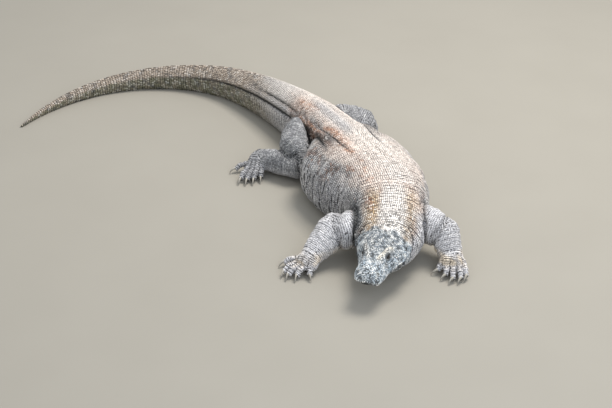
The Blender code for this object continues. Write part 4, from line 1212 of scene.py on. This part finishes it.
def noise(tree, position, scale, detail, roughness=0.5):
    values = {"Scale": scale, "Detail": detail, "Roughness": roughness}
    return addNode(tree, "ShaderNodeTexNoise", None, values, {"Vector": position}).outputs["Fac"]


def newMaterial(name):
    material = bpy.data.materials.new(name)
    material.use_nodes = True
    tree = material.node_tree
    return material, tree, tree.nodes["Principled BSDF"]


def attributeOf(tree, name):
    return addNode(tree, "ShaderNodeAttribute", {"attribute_name": name}).outputs["Fac"]


def scaled(tree, source, times, plus=0.0):
    # source * times + plus, kept between 0 and 1
    node = addNode(tree, "ShaderNodeMath", {"operation": "MULTIPLY_ADD"}, {1: times, 2: plus}, {0: source})
    return node.outputs[0]


def product(tree, a, b):
    return addNode(tree, "ShaderNodeMath", {"operation": "MULTIPLY"}, links={0: a, 1: b}).outputs[0]


def mixColour(tree, amount, a, b, blend="MIX"):
    node = addNode(tree, "ShaderNodeMix", {"data_type": "RGBA", "blend_type": blend, "clamp_factor": True})
    for socket, value in zip((node.inputs[0], node.inputs[6], node.inputs[7]), (amount, a, b)):
        if isinstance(value, (float, tuple)):
            socket.default_value = value
        else:
            tree.links.new(value, socket)
    return node.outputs[2]


hide = {
    "grey": "#b0adaa", "limb": "#cbcacc", "head": "#a2acb4", "frost": "#bccbd6", "tail": "#ab9d8e",
    "olive": "#7d7a65", "warm": "#d5c3b6", "gold": "#c9ad8a", "rust": "#c08c6a", "pale": "#e5dfd8",
    "cream": "#ece6d9", "dark": "#5c5f62", "ochre": "#efdcc0", "white": "#efeee9", "black": "#3b3c3a",
    "recessShade": "#1c1a17",
}

# dry scaled hide: keratin beads over leather, dull with a faint sheen; its colour holds painted shade
# between the beads and a painted highlight on their tops
hideMaterial, tree, shader = newMaterial("beadedDryHide")
position = addNode(tree, "ShaderNodeTexCoord").outputs["Object"]
cloud = noise(tree, position, 9.0, 4.0, 0.6)
fine = noise(tree, position, 70.0, 3.0, 0.65)
patchy = scaled(tree, cloud, 1.2, 0.42)  # uneven edges for every marking
colour = mixColour(tree, attributeOf(tree, "limb"), toLinear(hide["grey"]), toLinear(hide["limb"]))
for name in ("head", "frost", "tail", "olive", "warm", "gold", "rust", "pale", "ochre", "cream", "dark"):
    amount = product(tree, attributeOf(tree, name), patchy)
    colour = mixColour(tree, amount, colour, toLinear(hide[name]))
# single scales are lighter or darker than their neighbours, most on the head and limbs
tone = attributeOf(tree, "tone")
freckle = attributeOf(tree, "freckle")
for name, low, high, most in (("white", 0.52, 0.88, 0.75), ("black", 0.48, 0.12, 0.80)):
    step = addNode(tree, "ShaderNodeMapRange", {"clamp": True}, {1: low, 2: high, 3: 0.0, 4: most},
                   {0: tone})
    colour = mixColour(tree, product(tree, step.outputs[0], freckle), colour, toLinear(hide[name]))
shade = product(tree, scaled(tree, fine, 0.50, 0.75), scaled(tree, tone, 0.24, 0.86))
# painted shade and highlight: darker towards the beads' feet and over the bare skin between them, up to a
# fifth lighter on the bead tops
shade = product(tree, shade, scaled(tree, attributeOf(tree, "edge"), -0.98, 1.19))
channels = dict.fromkeys(("Red", "Green", "Blue"), shade)
grade = addNode(tree, "ShaderNodeCombineColor", links=channels).outputs[0]
colour = mixColour(tree, 1.0, colour, grade, "MULTIPLY")
# painted shade: the near-black of the mouth, nostrils, ears, grooves and creases
colour = mixColour(tree, attributeOf(tree, "recessShade"), colour, toLinear(hide["recessShade"]))
tree.links.new(colour, shader.inputs["Base Color"])
tree.links.new(scaled(tree, fine, 0.30, 0.42), shader.inputs["Roughness"])
shader.inputs["IOR"].default_value = 1.5
shader.inputs["Specular IOR Level"].default_value = 0.35
relief = addNode(tree, "ShaderNodeBump", None, {"Strength": 0.25, "Distance": 0.0003},
                 {"Height": noise(tree, position, 900.0, 2.0)})
tree.links.new(relief.outputs["Normal"], shader.inputs["Normal"])

# grown horn, worn smooth: pale where it leaves the digit, greyer to the point
hornMaterial, tree, shader = newMaterial("wornHornClaw")
position = addNode(tree, "ShaderNodeTexCoord").outputs["Object"]
streak = noise(tree, position, 260.0, 3.0)
colour = mixColour(tree, attributeOf(tree, "along"), toLinear("#bdb8ac"), toLinear("#8f8b84"))
colour = mixColour(tree, scaled(tree, streak, 0.9, -0.2), colour, toLinear("#6f6a61"))
tree.links.new(colour, shader.inputs["Base Color"])
shader.inputs["Roughness"].default_value = 0.36
shader.inputs["IOR"].default_value = 1.54
relief = addNode(tree, "ShaderNodeBump", None, {"Strength": 0.3, "Distance": 0.0003}, {"Height": streak})
tree.links.new(relief.outputs["Normal"], shader.inputs["Normal"])

# wet eye: black pupil, dark amber iris, brown-black beyond it
eyeMaterial, tree, shader = newMaterial("wetDarkEye")
bands = addNode(tree, "ShaderNodeValToRGB", links={"Fac": attributeOf(tree, "fromPupil")})
stops = bands.color_ramp.elements
stops[0].position, stops[0].color = 0.0, toLinear("#040303")
stops[1].position, stops[1].color = 1.0, toLinear("#120d0a")
for where, hexColour in ((0.24, "#040303"), (0.27, "#21150c"), (0.36, "#2b1b0f"), (0.44, "#0c0806")):
    stop = stops.new(where)
    stop.color = toLinear(hexColour)
tree.links.new(bands.outputs["Color"], shader.inputs["Base Color"])
shader.inputs["Roughness"].default_value = 0.07
shader.inputs["IOR"].default_value = 1.38
shader.inputs["Coat Weight"].default_value = 0.5
shader.inputs["Coat Roughness"].default_value = 0.03

fleshNodes = [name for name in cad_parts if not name.startswith(("claw_", "eye_"))]
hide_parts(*fleshNodes)
finishes = [(hideMaterial, "grey_hide", [skinPiece, *coatPieces, *lidPieces]),
            (hornMaterial, "horn", clawPieces), (eyeMaterial, "eye", eyePieces)]
for material, slotName, pieces in finishes:
    for piece in pieces:
        piece.data.materials.clear()
        piece.data.materials.append(material)
        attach(piece, "root")

# --- floor, light and camera ---
# cast plaster board, sanded dull: a faint mottle and no gleam, so that it stays behind the model
floorMaterial, tree, shader = newMaterial("paleMattFloor")
position = addNode(tree, "ShaderNodeTexCoord").outputs["Object"]
mottle = noise(tree, position, 3.0, 2.0)
colour = mixColour(tree, mottle, toLinear("#98948a"), toLinear("#9e9a90"))
tree.links.new(colour, shader.inputs["Base Color"])
shader.inputs["Roughness"].default_value = 0.9
floorHalf = 9.0
floorPoints = np.array([(-1, -1, 0), (1, -1, 0), (1, 1, 0), (-1, 1, 0)]) * floorHalf
floor = meshFrom("floor", floorPoints, np.array([(0, 1, 2), (0, 2, 3)]), False)
floor.data.materials.append(floorMaterial)

light = {"sky": "#eef1f5", "skyStrength": 0.84, "key": 186, "keySize": 1.8, "fill": 58}
world = bpy.data.worlds.new("softRoom")
bpy.context.scene.world = world
world.use_nodes = True
world.node_tree.nodes["Background"].inputs["Color"].default_value = toLinear(light["sky"])
world.node_tree.nodes["Background"].inputs["Strength"].default_value = light["skyStrength"]


def addLamp(name, place, target, size, power, hexColour):
    lamp = bpy.data.lights.new(name, "AREA")
    lamp.size = size
    lamp.energy = power
    lamp.color = toLinear(hexColour)[:3]
    obj = bpy.data.objects.new(name, lamp)
    obj.location = place
    obj.rotation_euler = (Vector(target) - Vector(place)).to_track_quat("-Z", "Y").to_euler()
    bpy.context.scene.collection.objects.link(obj)


addLamp("keyLight", (1.7, 0.8, 4.2), (0.2, -0.1, 0.1), light["keySize"], light["key"], "#fffaf4")
addLamp("fillLight", (1.8, -3.6, 2.6), (0.4, -0.4, 0.1), 2.5, light["fill"], "#e4eeff")

view = {"away": 5.0, "down": 31, "lens": 85.29}  # metres to the ground at its aim, degrees, millimetres
camera = bpy.data.cameras.new("camera")
camera.lens = view["lens"]
camera.sensor_width = 36.0
cameraObject = bpy.data.objects.new("camera", camera)
down = math.radians(view["down"])
cameraObject.location = (shift[0], shift[1] - view["away"] * math.cos(down), view["away"] * math.sin(down))
cameraObject.rotation_euler = (math.radians(90) - down, 0, 0)
bpy.context.scene.collection.objects.link(cameraObject)
bpy.context.scene.camera = cameraObject
bpy.context.scene.view_settings.view_transform = "Standard"
